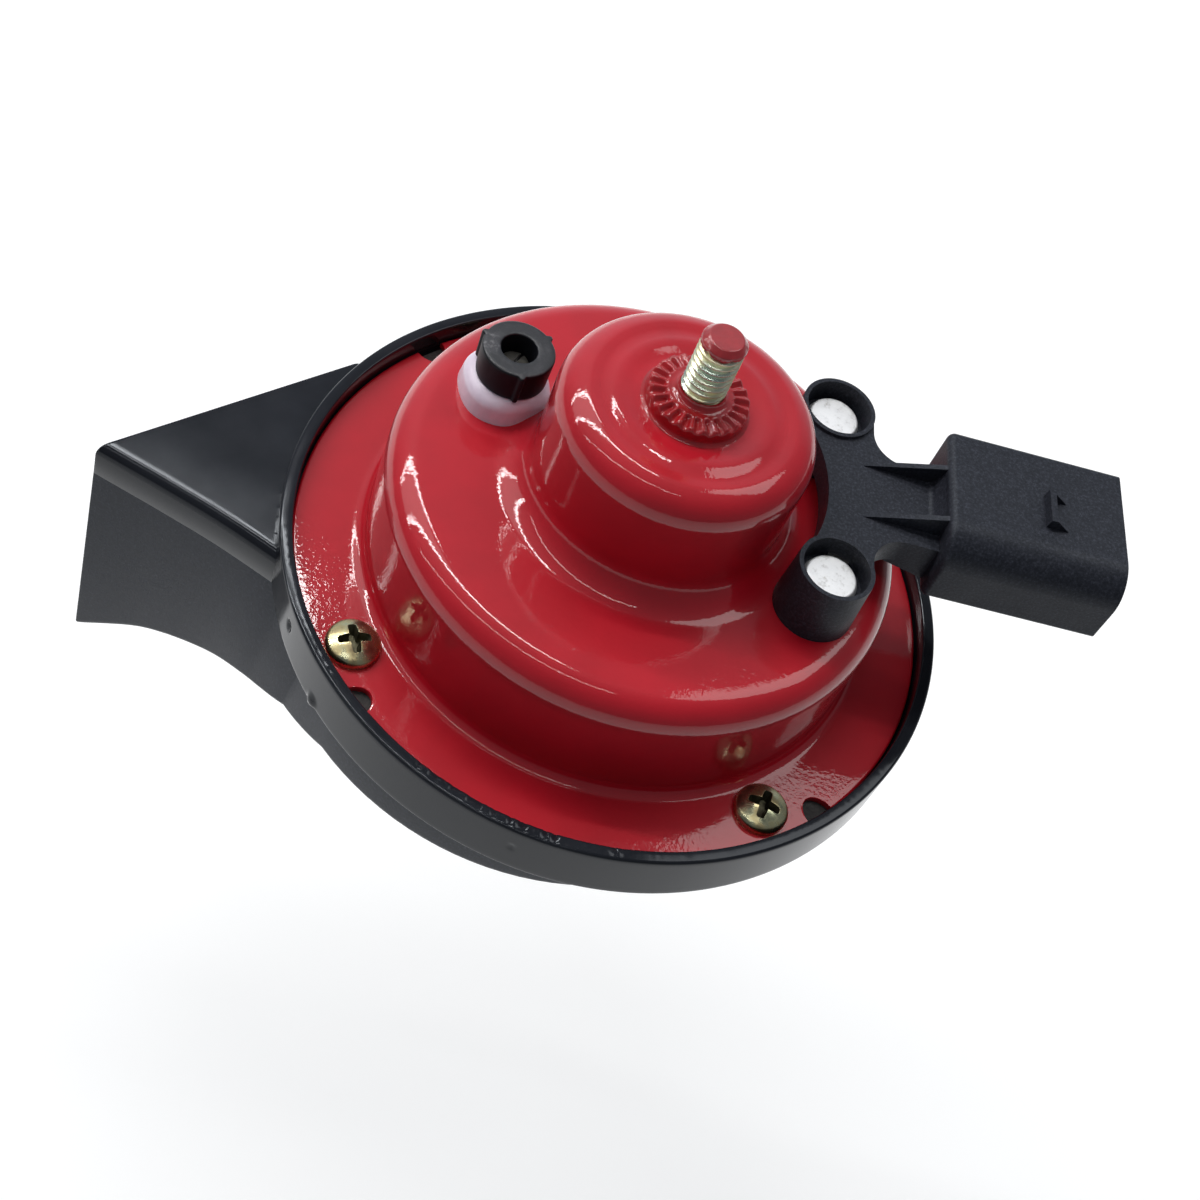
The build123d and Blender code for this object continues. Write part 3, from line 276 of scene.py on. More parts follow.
# Rings of the top: each a bell curve of the radius.
radius = profile[: len(skin_line), 0]
rings = np.array(TOP_RINGS)
swell = (rings[:, 1] * np.exp(-((radius[:, None] - rings[:, 0]) / rings[:, 2]) ** 2)).sum(1)
grid[: len(skin_line), :, 2] += np.where(skin_line[:, 1] > TIER3_TOP - TOP_EDGE, swell, 0.0)[:, None]
housing = skin_over("red_steel_housing", grid)
dress(housing, [red_enamel], "steel_housing", sharp=60)

# ---- fixing stud
# M6 stud and magnet core, cold headed and turned in one piece, with a rolled thread of 1 mm
# pitch. Yellow-passivated zinc, straw with green clouds.
CORE_R, CORE_BACK, CORE_TOP = 7.0, -24.0, -3.25
SHANK_R, SHANK_END_R = 3.4, 2.9
THREAD_R, THREAD_PITCH, THREAD_DEPTH = 2.98, 1.0, 0.6
THREAD_LOW, THREAD_HIGH = 0.3, 9.2
# Shares of the pitch: the flat crest, and both flanks together.
THREAD_CREST, THREAD_FLANK = 0.14, 0.72
THREAD_RUNOUT = 0.5

green_zinc = new_finish("green_zinc", Metallic=1.0)
clouds = mottle(green_zinc, 220, 2, 0.5)
shades(green_zinc, clouds, [
    (0.34, (0.42, 0.49, 0.42)), (0.47, (0.64, 0.66, 0.50)),
    (0.56, (0.68, 0.65, 0.40)), (0.68, (0.46, 0.46, 0.35)),
])
polish(green_zinc, clouds, 0.24, 0.36)

# Thread: the radius falls from the crest by depth times a clipped triangle of (z / pitch - turn).
angles = full_turn(96)
level = np.linspace(THREAD_LOW, THREAD_HIGH, 270)
phase = (level[:, None] / THREAD_PITCH - angles / TAU) % 1
flank = np.clip((np.abs(phase - 0.5) * 2 - THREAD_CREST) / THREAD_FLANK, 0, 1)
runout = np.clip(np.minimum(THREAD_HIGH - level, level - THREAD_LOW) / THREAD_RUNOUT, 0, 1)[:, None]
radius = THREAD_R - THREAD_DEPTH * flank * runout
thread = np.stack([radius * np.cos(angles), radius * np.sin(angles),
                   np.broadcast_to(level[:, None], radius.shape)], -1)
core = spun([(0, CORE_BACK), (CORE_R, CORE_BACK), (CORE_R, CORE_TOP), (SHANK_R, CORE_TOP),
             (SHANK_R, -0.1), (SHANK_END_R, -0.05)], angles)
stud = skin_over("threaded_stud", np.concatenate([core, thread]), end_cap=True)
dress(stud, [green_zinc], "pole_stud", sharp=50)

# ---- painted tip
# Thick red enamel on the stud's chamfered end, sprayed with the housing. Its lower edge is ragged,
# because the paint ran a little way over the thread.
TIP_R, TIP_TOP, TIP_LOW, TIP_CHAMFER = 3.0, 10.2, 8.75, 0.75
TIP_FADE = 0.9
# Waves of the lower edge: count round the stud, height, phase.
TIP_WAVES = [(5, 0.16, 0.6), (11, 0.12, 2.0), (23, 0.07, 4.1)]


def sum_of_waves(angles, waves):
    """Sum of height * sin(count * angle + phase) over the (count, height, phase) waves."""
    count, height, phase = np.array(waves).T[..., None]
    return (height * np.sin(count * angles + phase)).sum(0)


thick_enamel = new_finish("thick_enamel", Roughness=0.5, Coat_Weight=1.0, Coat_Roughness=0.06)
shades(thick_enamel, mottle(thick_enamel, 300, 4, 0.6), [
    (0.3, (0.26, 0.002, 0.006)), (0.7, (0.42, 0.004, 0.010)),
])
relief(thick_enamel, mottle(thick_enamel, 900, 3, 0.6), 0.06, coat=True)
angles = full_turn(120)
profile = rounded_line(
    [(TIP_R - 0.35, TIP_LOW - 0.1), (TIP_R, TIP_LOW + 0.15), (TIP_R, TIP_TOP - TIP_CHAMFER),
     (TIP_R - TIP_CHAMFER, TIP_TOP), (0, TIP_TOP)], [0.15, 0.3, 0.35], 5)
grid = spun(even_line(profile, 0.3), angles)
near_edge = np.clip((TIP_LOW + 1.0 - grid[..., 2]) / TIP_FADE, 0, 1)
grid[..., 2] += near_edge * sum_of_waves(angles, TIP_WAVES)
tip = skin_over("painted_tip", grid)
dress(tip, [thick_enamel], sharp=60)

# ---- serrated collar
# Steel ring pressed over the stud's shank, with 24 radial teeth that bite into the bracket. It is
# sprayed with the housing: enamel fills part of the teeth, fillets its foot and creeps up the stud.
TEETH, TOOTH_DEPTH, PAINT_FILL = 24, 0.9, 0.36
COLLAR_R, HUB_R = 6.7, 4.35
COLLAR_EDGE_R, COLLAR_ROUND = 6.15, 0.55
PAINT_RIPPLE = 0.05

wet_enamel = new_finish("wet_enamel", Roughness=0.5, Specular_IOR_Level=0.2, Coat_Weight=1.0,
                        Coat_Roughness=0.04)
shades(wet_enamel, mottle(wet_enamel, 500, 4, 0.6), [
    (0.3, (0.28, 0.0015, 0.005)), (0.7, (0.42, 0.0025, 0.008)),
])
relief(wet_enamel, mottle(wet_enamel, 1100, 3, 0.6), 0.05, coat=True)
angles = full_turn(TEETH * 16)
radius = np.concatenate([np.linspace(HUB_R - 0.35, HUB_R + 0.25, 5), np.linspace(HUB_R + 0.4, 6.3, 12),
                         [6.42, 6.52, 6.6, 6.66, COLLAR_R]])
# Tooth: a smooth step of the place within the pitch, faded in past the hub and rounded at the edge.
place = np.abs((angles * TEETH / TAU) % 1 - 0.5) * 2
tooth = np.clip((0.98 - place) / 0.9, 0, 1)
tooth = tooth * tooth * (3 - 2 * tooth)
inward = np.clip((radius - HUB_R) / 0.4, 0, 1)[:, None]
edge = np.sqrt(1 - np.clip((radius - COLLAR_EDGE_R) / COLLAR_ROUND, 0, 1) ** 2)[:, None]
crown = spun(np.column_stack([radius, np.zeros(len(radius))]), angles)
height = (1 - inward * (1 - tooth) * (1 - PAINT_FILL)) * (0.15 + 0.85 * edge)
crown[..., 2] = TOOTH_DEPTH * (height - 1)
crown[..., 2] += PAINT_RIPPLE * inward * np.sin(5 * angles + 1.0) * np.sin(17 * angles + radius[:, None])
hub = spun([(3.0, 1.0), (3.06, 0.7), (3.2, 0.4), (3.42, 0.16), (3.7, 0.03)], angles)
skirt = spun([(COLLAR_R, -1.5), (6.74, -1.9), (6.9, -2.12), (7.25, -2.26)], angles)
collar = skin_over("toothed_collar", np.concatenate([hub, crown, skirt]))
dress(collar, [wet_enamel], "serrated_collar", sharp=70)

# ---- magnet and contact breaker
# Sealed inside the housing: coil, yoke, armature and the breaker's stack of strips. Their CAD
# shapes stay, and each gets its own metal, winding or board.
def coat_node(node, finish):
    """Puts a finish on every material slot of a CAD node."""
    for material_slot in nodes[node].material_slots:
        material_slot.material = finish


plain_steel = new_finish("plain_steel", Metallic=1.0, Roughness=0.38)
shades(plain_steel, mottle(plain_steel, 500, 4, 0.6, (1, 1, 0.1)), [
    (0.3, (0.36, 0.35, 0.34)), (0.7, (0.58, 0.57, 0.55)),
])
brass = new_finish("brass", Metallic=1.0, Roughness=0.3)
shades(brass, mottle(brass, 600), [(0.3, (0.55, 0.38, 0.14)), (0.7, (0.78, 0.57, 0.25))])
silver = new_finish("contact_silver", Metallic=1.0, Roughness=0.35)
shades(silver, mottle(silver, 900), [(0.3, (0.70, 0.69, 0.66)), (0.7, (0.86, 0.85, 0.82))])
phenolic = new_finish("phenolic_board", Roughness=0.5)
shades(phenolic, mottle(phenolic, 900, 4, 0.6, (1, 1, 4)), [
    (0.3, (0.10, 0.045, 0.02)), (0.7, (0.20, 0.10, 0.045)),
])
spool_nylon = new_finish("spool_nylon", Roughness=0.45)
shades(spool_nylon, mottle(spool_nylon, 400), [
    (0.3, (0.014, 0.014, 0.015)), (0.7, (0.022, 0.022, 0.024)),
])
copper = new_finish("wound_copper", Metallic=0.9, Roughness=0.32)
wire_turns = mottle(copper, 250, 2, 0.4, (0.2, 0.2, 12))
shades(copper, wire_turns, [(0.35, (0.28, 0.09, 0.04)), (0.65, (0.62, 0.27, 0.13))])
relief(copper, wire_turns, 0.15)
for finish, names in (
    (plain_steel, ("magnet_yoke", "armature", "armature_washer_upper", "armature_washer_lower",
                   "breaker_bracket", "breaker_backing_plate", "breaker_arm", "fixed_contact_plate")),
    (brass, ("breaker_leaf_spring", "arm_rivets", "breaker_rivets", "lead_tab_upper", "lead_tab_lower")),
    (phenolic, ("breaker_insulator_upper", "breaker_insulator_middle", "breaker_insulator_lower",
                "striker_shoe", "rivet_bushes")),
    (silver, ("moving_contact", "fixed_contact")),
    (spool_nylon, ("coil_bobbin",)),
    (copper, ("coil_winding",)),
):
    for name in names:
        coat_node(name, finish)

# ---- plug connector
# Moulded in one piece of black nylon: two bosses, a plate with two ribs, and the socket. The
# mould's spark-eroded grain keeps it satin, and every edge is broken by a small radius.
EDGE_BREAK = 0.16


def settle(piece):
    """Replaces a piece's mesh by what its modifiers make of it."""
    bpy.context.view_layer.update()
    made = bpy.data.meshes.new_from_object(piece.evaluated_get(bpy.context.evaluated_depsgraph_get()))
    piece.modifiers.clear()
    piece.data = made
    return piece


def soften(piece, width, segments=2, angle=35):
    """Rounds a piece's edges sharper than the angle by a width in mm."""
    modifier = piece.modifiers.new("soften", "BEVEL")
    modifier.width = width * MM
    modifier.segments = segments
    modifier.limit_method = "ANGLE"
    modifier.angle_limit = math.radians(angle)
    return settle(piece)


def even_out(piece):
    """Turns the corner normals towards the larger faces, so that flats shade flat beside a radius."""
    modifier = piece.modifiers.new("even_out", "WEIGHTED_NORMAL")
    modifier.keep_sharp = True
    return settle(piece)


black_nylon = new_finish("black_nylon", Specular_IOR_Level=0.2, Specular_Tint=(0.88, 0.94, 1.0, 1))
grain = mottle(black_nylon, 2600, 4, 0.75)
shades(black_nylon, grain, [
    (0.36, (0.0118, 0.0127, 0.0172)), (0.52, (0.0205, 0.0220, 0.0293)), (0.70, (0.046, 0.049, 0.0635)),
])
polish(black_nylon, mottle(black_nylon, 130, 6, 0.65), 0.34, 0.5, 0.3, 0.75)
relief(black_nylon, grain, 0.03)

# The CAD shape, merged and its flats made whole, so that only true edges are broken.
moulding = bmesh.new()
moulding.from_mesh(nodes["connector_housing"].data)
bmesh.ops.remove_doubles(moulding, verts=moulding.verts, dist=1e-6)
bmesh.ops.dissolve_limit(moulding, angle_limit=math.radians(1.0), verts=moulding.verts, edges=moulding.edges)
mesh = bpy.data.meshes.new("plug_connector")
moulding.to_mesh(mesh)
moulding.free()
connector = bpy.data.objects.new("plug_connector", mesh)
scene.collection.objects.link(connector)
soften(connector, EDGE_BREAK, 2, 40)
dress(connector, [black_nylon], "connector_housing", sharp=38)
even_out(connector)

# ---- terminals and boss seals
# Two terminals stamped from tinned brass strip and moulded into the connector, and two black
# rubber rings pressed into the feet of its bosses to keep water out. CAD shapes stay.
tinned = new_finish("tinned_brass", Metallic=1.0, Roughness=0.3)
shades(tinned, mottle(tinned, 700, 3, 0.5, (0.2, 1, 1)), [
    (0.3, (0.62, 0.60, 0.55)), (0.7, (0.80, 0.78, 0.72)),
])
rubber = new_finish("black_rubber", Roughness=0.7)
shades(rubber, mottle(rubber, 1200, 4, 0.6), [(0.3, (0.010, 0.010, 0.010)), (0.7, (0.020, 0.020, 0.020))])
coat_node("terminal_upper", tinned)
coat_node("terminal_lower", tinned)
coat_node("boss_seals", rubber)

# ---- terminal rivets
# Two aluminium rivets at the bottom of the bosses hold the connector on. Their broad heads were
# set cold: pale and blotched, with gold-coloured chromate left here and there.
RIVET_SPOTS = [(23.0, 15.2), (23.0, -12.7)]
RIVET_TOP, RIVET_SEAT, RIVET_TAIL = -13.5, -14.5, -23.4
RIVET_HEAD_R, RIVET_R, RIVET_TAIL_R = 3.8, 1.6, 2.6
RIVET_END = RIVET_TAIL - 0.9


def move(piece, x=0.0, y=0.0, z=0.0, turn=0.0):
    """Turns a piece's mesh about Z, then moves it, in millimetres."""
    piece.data.transform(Matrix.Translation(Vector((x, y, z)) * MM) @ Matrix.Rotation(turn, 4, "Z"))
    return piece


def joined(name, pieces):
    """One object out of several, whose faces keep their places in the list of finishes."""
    work = bmesh.new()
    for piece in pieces:
        work.from_mesh(piece.data)
        bpy.data.objects.remove(piece)
    mesh = bpy.data.meshes.new(name)
    work.to_mesh(mesh)
    work.free()
    piece = bpy.data.objects.new(name, mesh)
    scene.collection.objects.link(piece)
    return piece


set_aluminium = new_finish("set_aluminium", Metallic=0.6, Roughness=0.5)
blotches = mottle(set_aluminium, 800, 5, 0.7)
shades(set_aluminium, blotches, [
    (0.26, (0.46, 0.36, 0.18)), (0.34, (0.62, 0.61, 0.60)),
    (0.46, (0.84, 0.84, 0.84)), (0.8, (0.92, 0.92, 0.92)),
])
polish(set_aluminium, blotches, 0.4, 0.6)
relief(set_aluminium, blotches, 0.03)
rivet_line = rounded_line(
    [(0, RIVET_TOP), (RIVET_HEAD_R - 0.4, RIVET_TOP - 0.1), (RIVET_HEAD_R, RIVET_SEAT), (RIVET_R, RIVET_SEAT),
     (RIVET_R, RIVET_TAIL), (RIVET_TAIL_R, RIVET_TAIL), (RIVET_TAIL_R - 0.3, RIVET_END), (0, RIVET_END)],
    [0.35, 0, 0, 0, 0, 0.3], 5)
rivet_grid = spun(even_line(rivet_line, 0.5), full_turn(72))
rivets = [move(skin_over("rivet", rivet_grid), *spot) for spot in RIVET_SPOTS]
dress(joined("set_rivets", rivets), [set_aluminium], "terminal_rivets", sharp=50)

# ---- adjusting screw
# Slotted steel grub screw, turned and threaded, in the second tier. Its dog point sets how far the
# fixed contact stands from the moving one.
ADJUSTER_TURN = math.radians(153.2)
ADJUSTER_REACH = 24.45
ADJUSTER_X = ADJUSTER_REACH * math.cos(ADJUSTER_TURN)
ADJUSTER_Y = ADJUSTER_REACH * math.sin(ADJUSTER_TURN)
GRUB_R, GRUB_TIP_R = 2.0, 1.5
GRUB_TOP, GRUB_STEP, GRUB_TIP = -14.6, -25.6, -33.85
SLOT_HALF, SLOT_DEPTH, SLOT_TURN = 0.22, 0.9, 62.0
GRUB_CHAMFER, SLOT_BREAK = 0.3, 0.06


def prism(name, outline, low, high, shrink=1.0):
    """Closed block of an outline between two levels, its foot scaled by shrink about the axis."""
    outline = np.asarray(outline, float)
    foot = np.column_stack([outline * shrink, np.full(len(outline), low)])
    head = np.column_stack([outline, np.full(len(outline), high)])
    return skin_over(name, np.stack([foot, head]), start_cap=True, end_cap=True)


def cut(piece, cutter, finishes=()):
    """Cuts a closed mesh out of a piece. Of two finishes, the cut faces get the second."""
    if finishes:
        piece.data.materials.append(finishes[0])
        cutter.data.materials.append(finishes[1])
    modifier = piece.modifiers.new("cut", "BOOLEAN")
    modifier.operation = "DIFFERENCE"
    modifier.solver = "EXACT"
    modifier.material_mode = "TRANSFER"
    modifier.object = cutter
    settle(piece)
    bpy.data.objects.remove(cutter)
    return piece


dull_steel = new_finish("dull_steel", Metallic=0.7, Roughness=0.5)
shades(dull_steel, mottle(dull_steel, 900, 4, 0.6), [
    (0.3, (0.020, 0.019, 0.017)), (0.7, (0.075, 0.070, 0.060)),
])
grub_line = [(0, GRUB_TIP), (GRUB_TIP_R, GRUB_TIP), (GRUB_TIP_R, GRUB_STEP), (GRUB_R, GRUB_STEP),
             (GRUB_R, GRUB_TOP - GRUB_CHAMFER), (GRUB_R - 0.2, GRUB_TOP), (0, GRUB_TOP)]
grub = skin_over("grub_screw", spun(grub_line, full_turn(64)))
slot_outline = [(-3, -SLOT_HALF), (3, -SLOT_HALF), (3, SLOT_HALF), (-3, SLOT_HALF)]
slot = move(prism("slot", slot_outline, GRUB_TOP - SLOT_DEPTH, GRUB_TOP + 1), turn=math.radians(SLOT_TURN))
# The slot's cut faces take the brighter plain steel, a painted highlight along the slot; the rest of the head
# is dark steel.
grub = soften(cut(grub, slot, [dull_steel, plain_steel]), SLOT_BREAK)
move(grub, ADJUSTER_X, ADJUSTER_Y)
dress(grub, [dull_steel, plain_steel], "adjusting_screw", sharp=40)

# ---- locking compound
# Whitish-lilac bead of setting compound, poured round the adjusting screw once it is set. It is
# domed and lopsided: fuller on one side, thin beside it, and drawn towards the top tier.
BEAD_R, BEAD_TOP, BEAD_TOP_R, BEAD_BORE_R = 6.3, -16.85, 4.3, 2.05
BEAD_SHOULDER = -17.5
BEAD_FULL, BEAD_THIN = math.radians(-118), math.radians(-52)

compound = new_finish("lilac_compound", Roughness=0.42, Coat_Weight=0.3, Coat_Roughness=0.2)
shades(compound, mottle(compound, 300, 4, 0.6), [(0.3, (0.68, 0.56, 0.67)), (0.7, (0.82, 0.71, 0.81))])
relief(compound, mottle(compound, 500, 2), 0.05)
bead_line = rounded_line(
    [(BEAD_BORE_R, TIER2_TOP + 0.05), (BEAD_R, TIER2_TOP - 0.1), (BEAD_R - 0.4, BEAD_SHOULDER),
     (BEAD_TOP_R, BEAD_TOP), (BEAD_BORE_R, BEAD_TOP)], [0, 1.7, 0.8], 7)
angles = full_turn(96)
grid = spun(even_line(bead_line, 0.4), angles)
# Its radius grows on the full side and towards the top tier, and shrinks on the thin side.
swell = 1 + 0.09 * np.cos(angles - BEAD_FULL) + 0.02 * np.sin(5 * angles) - 0.03 * np.sin(2 * angles)
swell += 0.16 * np.exp(-(turn_from(angles, ADJUSTER_TURN + math.pi) / 0.3) ** 2)
swell -= 0.15 * np.exp(-(turn_from(angles, BEAD_THIN) / 0.5) ** 2)
grid[..., :2] *= swell[:, None]
bead = move(skin_over("locking_compound", grid, along=True), ADJUSTER_X, ADJUSTER_Y)
dress(bead, [compound], "adjuster_sealant", sharp=60)

# ---- adjuster sleeve
# Black plastic guard pushed over the grub screw, with three upright crush ribs. Its upper face
# takes a lighter grey finish than the sides: screwdriver scrapes, and painted sheen of the light
# on the top face.
SLEEVE_R, SLEEVE_BORE_R = 5.0, 2.5
SLEEVE_LOW, SLEEVE_HIGH = -16.9, -12.0
RIB_TURNS = np.radians(161.2 + 120.0 * np.arange(3))
RIB_PROUD, RIB_REACH = 0.52, 0.08

scraped_and_sheen_black = new_finish("scraped_and_sheen_black")
scrapes_and_sheen = mottle(scraped_and_sheen_black, 170, 6, 0.75)
shades(scraped_and_sheen_black, scrapes_and_sheen, [
    (0.5, (0.010, 0.0105, 0.014)), (0.6, (0.03, 0.03, 0.036)), (0.7, (0.15, 0.145, 0.15)),
])
polish(scraped_and_sheen_black, scrapes_and_sheen, 0.3, 0.5)
relief(scraped_and_sheen_black, mottle(scraped_and_sheen_black, 1400, 4, 0.6), 0.06)
moulded_black = new_finish("moulded_black", Roughness=0.42, Specular_IOR_Level=0.14)
shades(moulded_black, mottle(moulded_black, 300), [
    (0.3, (0.006, 0.0065, 0.009)), (0.7, (0.010, 0.0105, 0.014)),
])
sleeve_line = rounded_line(
    [(SLEEVE_BORE_R, SLEEVE_LOW), (SLEEVE_R - 0.1, SLEEVE_LOW), (SLEEVE_R, SLEEVE_HIGH),
     (SLEEVE_BORE_R, SLEEVE_HIGH), (SLEEVE_BORE_R, SLEEVE_LOW)], [0.3, 0.35, 0.25], 4)
angles = full_turn(240)
grid = spun(even_line(sleeve_line, 0.5)[:-1], angles)
# Rib: the outer wall stands proud by a flat-topped bell of the angle from the rib.
proud = RIB_PROUD * np.exp(-(turn_from(angles, RIB_TURNS) / RIB_REACH) ** 4)
push_out(grid, angles, np.where(np.hypot(grid[..., 0], grid[..., 1]) > SLEEVE_R - 0.7, proud, 0))
sleeve = move(skin_over("adjuster_sleeve", grid, along=True), ADJUSTER_X, ADJUSTER_Y)
dress(sleeve, [moulded_black, scraped_and_sheen_black], "adjuster_cap", sharp=45)
# Upper face: the lighter finish, screwdriver scrapes plus painted sheen of the light on top.
middles = np.empty(len(sleeve.data.polygons) * 3)
sleeve.data.polygons.foreach_get("center", middles)
upper_face = (middles[2::3] > (SLEEVE_HIGH - 0.12) * MM).astype(np.int32)
sleeve.data.polygons.foreach_set("material_index", upper_face)

# ---- diaphragm and gaskets
# Spring-steel disc with a pressed bead, clamped under the flange between two punched rings of
# dark fibre board. CAD shapes stay.
fibre = new_finish("dark_fibre", Roughness=0.85)
shades(fibre, mottle(fibre, 1500, 5, 0.7), [(0.3, (0.015, 0.014, 0.014)), (0.7, (0.05, 0.048, 0.045))])
coat_node("housing_gasket", fibre)
coat_node("trumpet_gasket", fibre)
coat_node("diaphragm", plain_steel)

# ---- trumpet rear shell
# Moulded in black nylon off a smooth tool: the rim that the flange sits in, the deck, and the
# flare's upper half, whose ridge is rounded. The rim is chipped where its flash was broken off.
RIM_R, RIM_IN, RIM_TOP = 47.5, 45.7, -36.0
DECK_TOP, DECK_BACK = -41.1, -44.8
DISH_R, DISH_DEPTH = 34.5, 1.1
POCKET_R, POCKET_DEPTH = 9.5, 2.8
THROAT_R = 5.5
WALL = 1.5
TURN_RATIO, VOLUTE_TURNS, VOLUTE_R, VOLUTE_END = 1.68, 1.5, 42.6, 141.2
VOLUTE_END_DEPTH, VOLUTE_START_DEPTH = 12.5, 9.0
VALLEY, CHANNEL_MIN = 0.6, 5.5
# How far the spiral's air and the flare's skin reach up into the deck where the flare begins.
ROOF_RECESS, DECK_BURY = 0.3, 1.6
AIR_CORNER, SHELL_CORNER, RIDGE_R, FOOT_R = 1.4, 2.2, 1.7, 1.2
MOUTH_TOP = -39.1
QUARTER = math.pi / 2
# Sections of the flare: turn of its inner wall past the spiral's end and how far that wall leaves
# the spiral's, turn of its outer wall and how far that leaves the last radius, rise, depth.
FLARE = np.array([
    (12.9, 0.0, 12.9, 1.0, 0.3, 15.9),
    (33.8, 0.0, 23.6, 5.0, 1.5, 20.3),
    (52.4, 0.6, 31.8, 10.2, 2.7, 25.4),
    (63.8, 8.3, 36.7, 19.3, 3.6, 29.6),
    (70.7, 17.5, 39.0, 29.4, 4.2, 35.9),
])
SEAM_BREAK = 0.12
# The flare's outer wall leans in towards the seam, which runs straight from the mouth's outer
# corner to the rim: a point of that line and the direction that looks out of it.
SEAM_CORNER = np.array([-72.4, 0.8])
SEAM_OUTWARD = np.array([-0.374, -0.927])
LEAN_LEAST, LEAN_MOST = -1.3, 3.0
# Marks in the rim's wall: angle, level, radius of the mark and how far it goes in.
RIM_MARKS = [(-153.5, -40.0, 0.55, 0.6), (-101.3, -40.0, 0.35, 0.25), (-142.0, -43.9, 0.9, -0.45)]
# Slow waves of the rim's crest: count, height, phase. Flakes off it between two angles, each with
# the turn over which they set in or fade, and their least share elsewhere.
RIM_WAVES = [(5, 0.03, 0.3), (13, 0.02, 1.9), (37, 0.006, 4.0)]
FLAKE_DEPTH, FLAKE_LEAST = 0.55, 0.08
FLASH_START, FLASH_RISE, FLASH_END, FLASH_FADE = -122, 1.2, -88, 3.0


def outer_radius(flow):
    """Radius of the channel's outer wall: it grows by the same ratio each turn of the flow."""
    return VOLUTE_R * TURN_RATIO ** ((flow - VOLUTE_END) / 360)


def inner_radius(flow):
    """Radius of the inner wall, which clears the turn before by a valley."""
    return np.minimum(outer_radius(flow - 360) + 2 * WALL + VALLEY, outer_radius(flow) - CHANNEL_MIN)


def smooth_rows(rows, steps):
    """A table with steps rows for each one: cubic curves through the rows.

    Their slope at a row is half the difference of its neighbours.
    """
    ends = np.vstack([rows[:1], rows, rows[-1:]])
    before, start, end, after = ends[:-3], ends[1:-2], ends[2:-1], ends[3:]
    slope_in, slope_out = (end - before) / 2, (after - start) / 2
    bend = 3 * (end - start) - 2 * slope_in - slope_out
    twist = 2 * (start - end) + slope_in + slope_out
    t = (np.arange(steps) / steps)[:, None, None]
    made = start + t * (slope_in + t * (bend + t * twist))
    return np.vstack([made.transpose(1, 0, 2).reshape(-1, rows.shape[1]), rows[-1:]])


# Stations of the channel, one row each: radius and turn of the inner and the outer wall, rise of
# the roof, depth of the floor, level of the shell's top, its upper and its lower corner.
VOLUTE_START = VOLUTE_END - 360 * VOLUTE_TURNS
flow = np.linspace(VOLUTE_START, VOLUTE_END, 170)
to_end = (VOLUTE_END - flow) / (360 * VOLUTE_TURNS)
depth = VOLUTE_END_DEPTH * (VOLUTE_START_DEPTH / VOLUTE_END_DEPTH) ** to_end
even = np.ones(len(flow))
spiral = np.column_stack([
    inner_radius(flow), flow, outer_radius(flow), flow, even * ROOF_RECESS, depth,
    even * (DECK_BACK + DECK_BURY), even * SHELL_CORNER, even * SHELL_CORNER,
])
near_turn, near_out, far_turn, far_out, rise, depth = smooth_rows(FLARE, 16).T
near_turn = near_turn + VOLUTE_END
even = np.ones(len(near_turn))
flare = np.column_stack([
    inner_radius(near_turn) + near_out, near_turn, VOLUTE_R + far_out, far_turn + VOLUTE_END, rise, depth,
    even * MOUTH_TOP, even * RIDGE_R, even * FOOT_R,
])
leaving = np.linspace(spiral[-1], flare[0], 10)[1:-1]
stations = np.vstack([spiral, leaving, flare])


def arc(x, z, radius, begin, end, points=12):
    """Arcs of all stations: centre + radius * (cos t, sin t), t from begin to end."""
    x, z, radius, begin, end = (value[:, None] for value in np.broadcast_arrays(x, z, radius, begin, end))
    t = begin + (end - begin) * np.linspace(0, 1, points)
    return np.stack([x + radius * np.cos(t), z + radius * np.sin(t)], -1)


def run(x_start, x_end, z, points):
    """Level runs of all stations, points inside two ends."""
    share = np.arange(1, points + 1) / (points + 1)
    x = x_start[:, None] + (x_end - x_start)[:, None] * share
    return np.stack([x, np.broadcast_to(z[:, None], x.shape)], -1)


def stood_up(rows, loops):
    """Stands each station's loop of (across, level) points on the line between its two walls.

    Both walls lie clockwise of +X by their turn. The outer one leans by the distance of its
    foot from the seam's line, in full at the seam and not at all at the floor.
    """
    near_angle, far_angle = -np.radians(rows[:, 1]), -np.radians(rows[:, 3])
    near = rows[:, 0, None] * np.column_stack([np.cos(near_angle), np.sin(near_angle)])
    far = rows[:, 2, None] * np.column_stack([np.cos(far_angle), np.sin(far_angle)])
    width = np.linalg.norm(far - near, axis=1)
    across = (far - near) / width[:, None]
    lean = np.clip((far - SEAM_CORNER) @ SEAM_OUTWARD, LEAN_LEAST, LEAN_MOST)
    lean *= np.clip((rows[:, 3] - VOLUTE_END) / FLARE[0, 2], 0, 1)
    floor = DECK_BACK - rows[:, 5, None]
    raised = np.clip((loops[..., 1] - floor) / (DECK_BACK - floor), 0, 1)
    outward = np.clip(loops[..., 0] / width[:, None], 0, 1)
    shift = lean[:, None] * raised * outward
    plan = near[:, None] + across[:, None] * (loops[..., 0] - shift)[..., None]
    return np.concatenate([plan, loops[..., 1:]], -1)


def channel_width(rows):
    """Width of the air channel at each station: r1^2 + r2^2 - 2 r1 r2 cos(turn between them)."""
    turn = np.radians(rows[:, 3] - rows[:, 1])
    return np.sqrt(rows[:, 0] ** 2 + rows[:, 2] ** 2 - 2 * rows[:, 0] * rows[:, 2] * np.cos(turn))


def roof_corner(rows):
    """Level of the air's upper corners' centres, and the turn at which they cross the seam."""
    roof = DECK_BACK + rows[:, 4] - AIR_CORNER
    return roof, np.arcsin(np.clip((DECK_BACK - roof) / AIR_CORNER, 0, 1))


def seam_point(x, turn=None):
    """Point on the weld seam at x, or where the air's upper corner about x crosses it."""
    if turn is not None:
        x = x + AIR_CORNER * np.cos(turn)
    return np.column_stack([x, np.full(len(x), DECK_BACK)])[:, None]


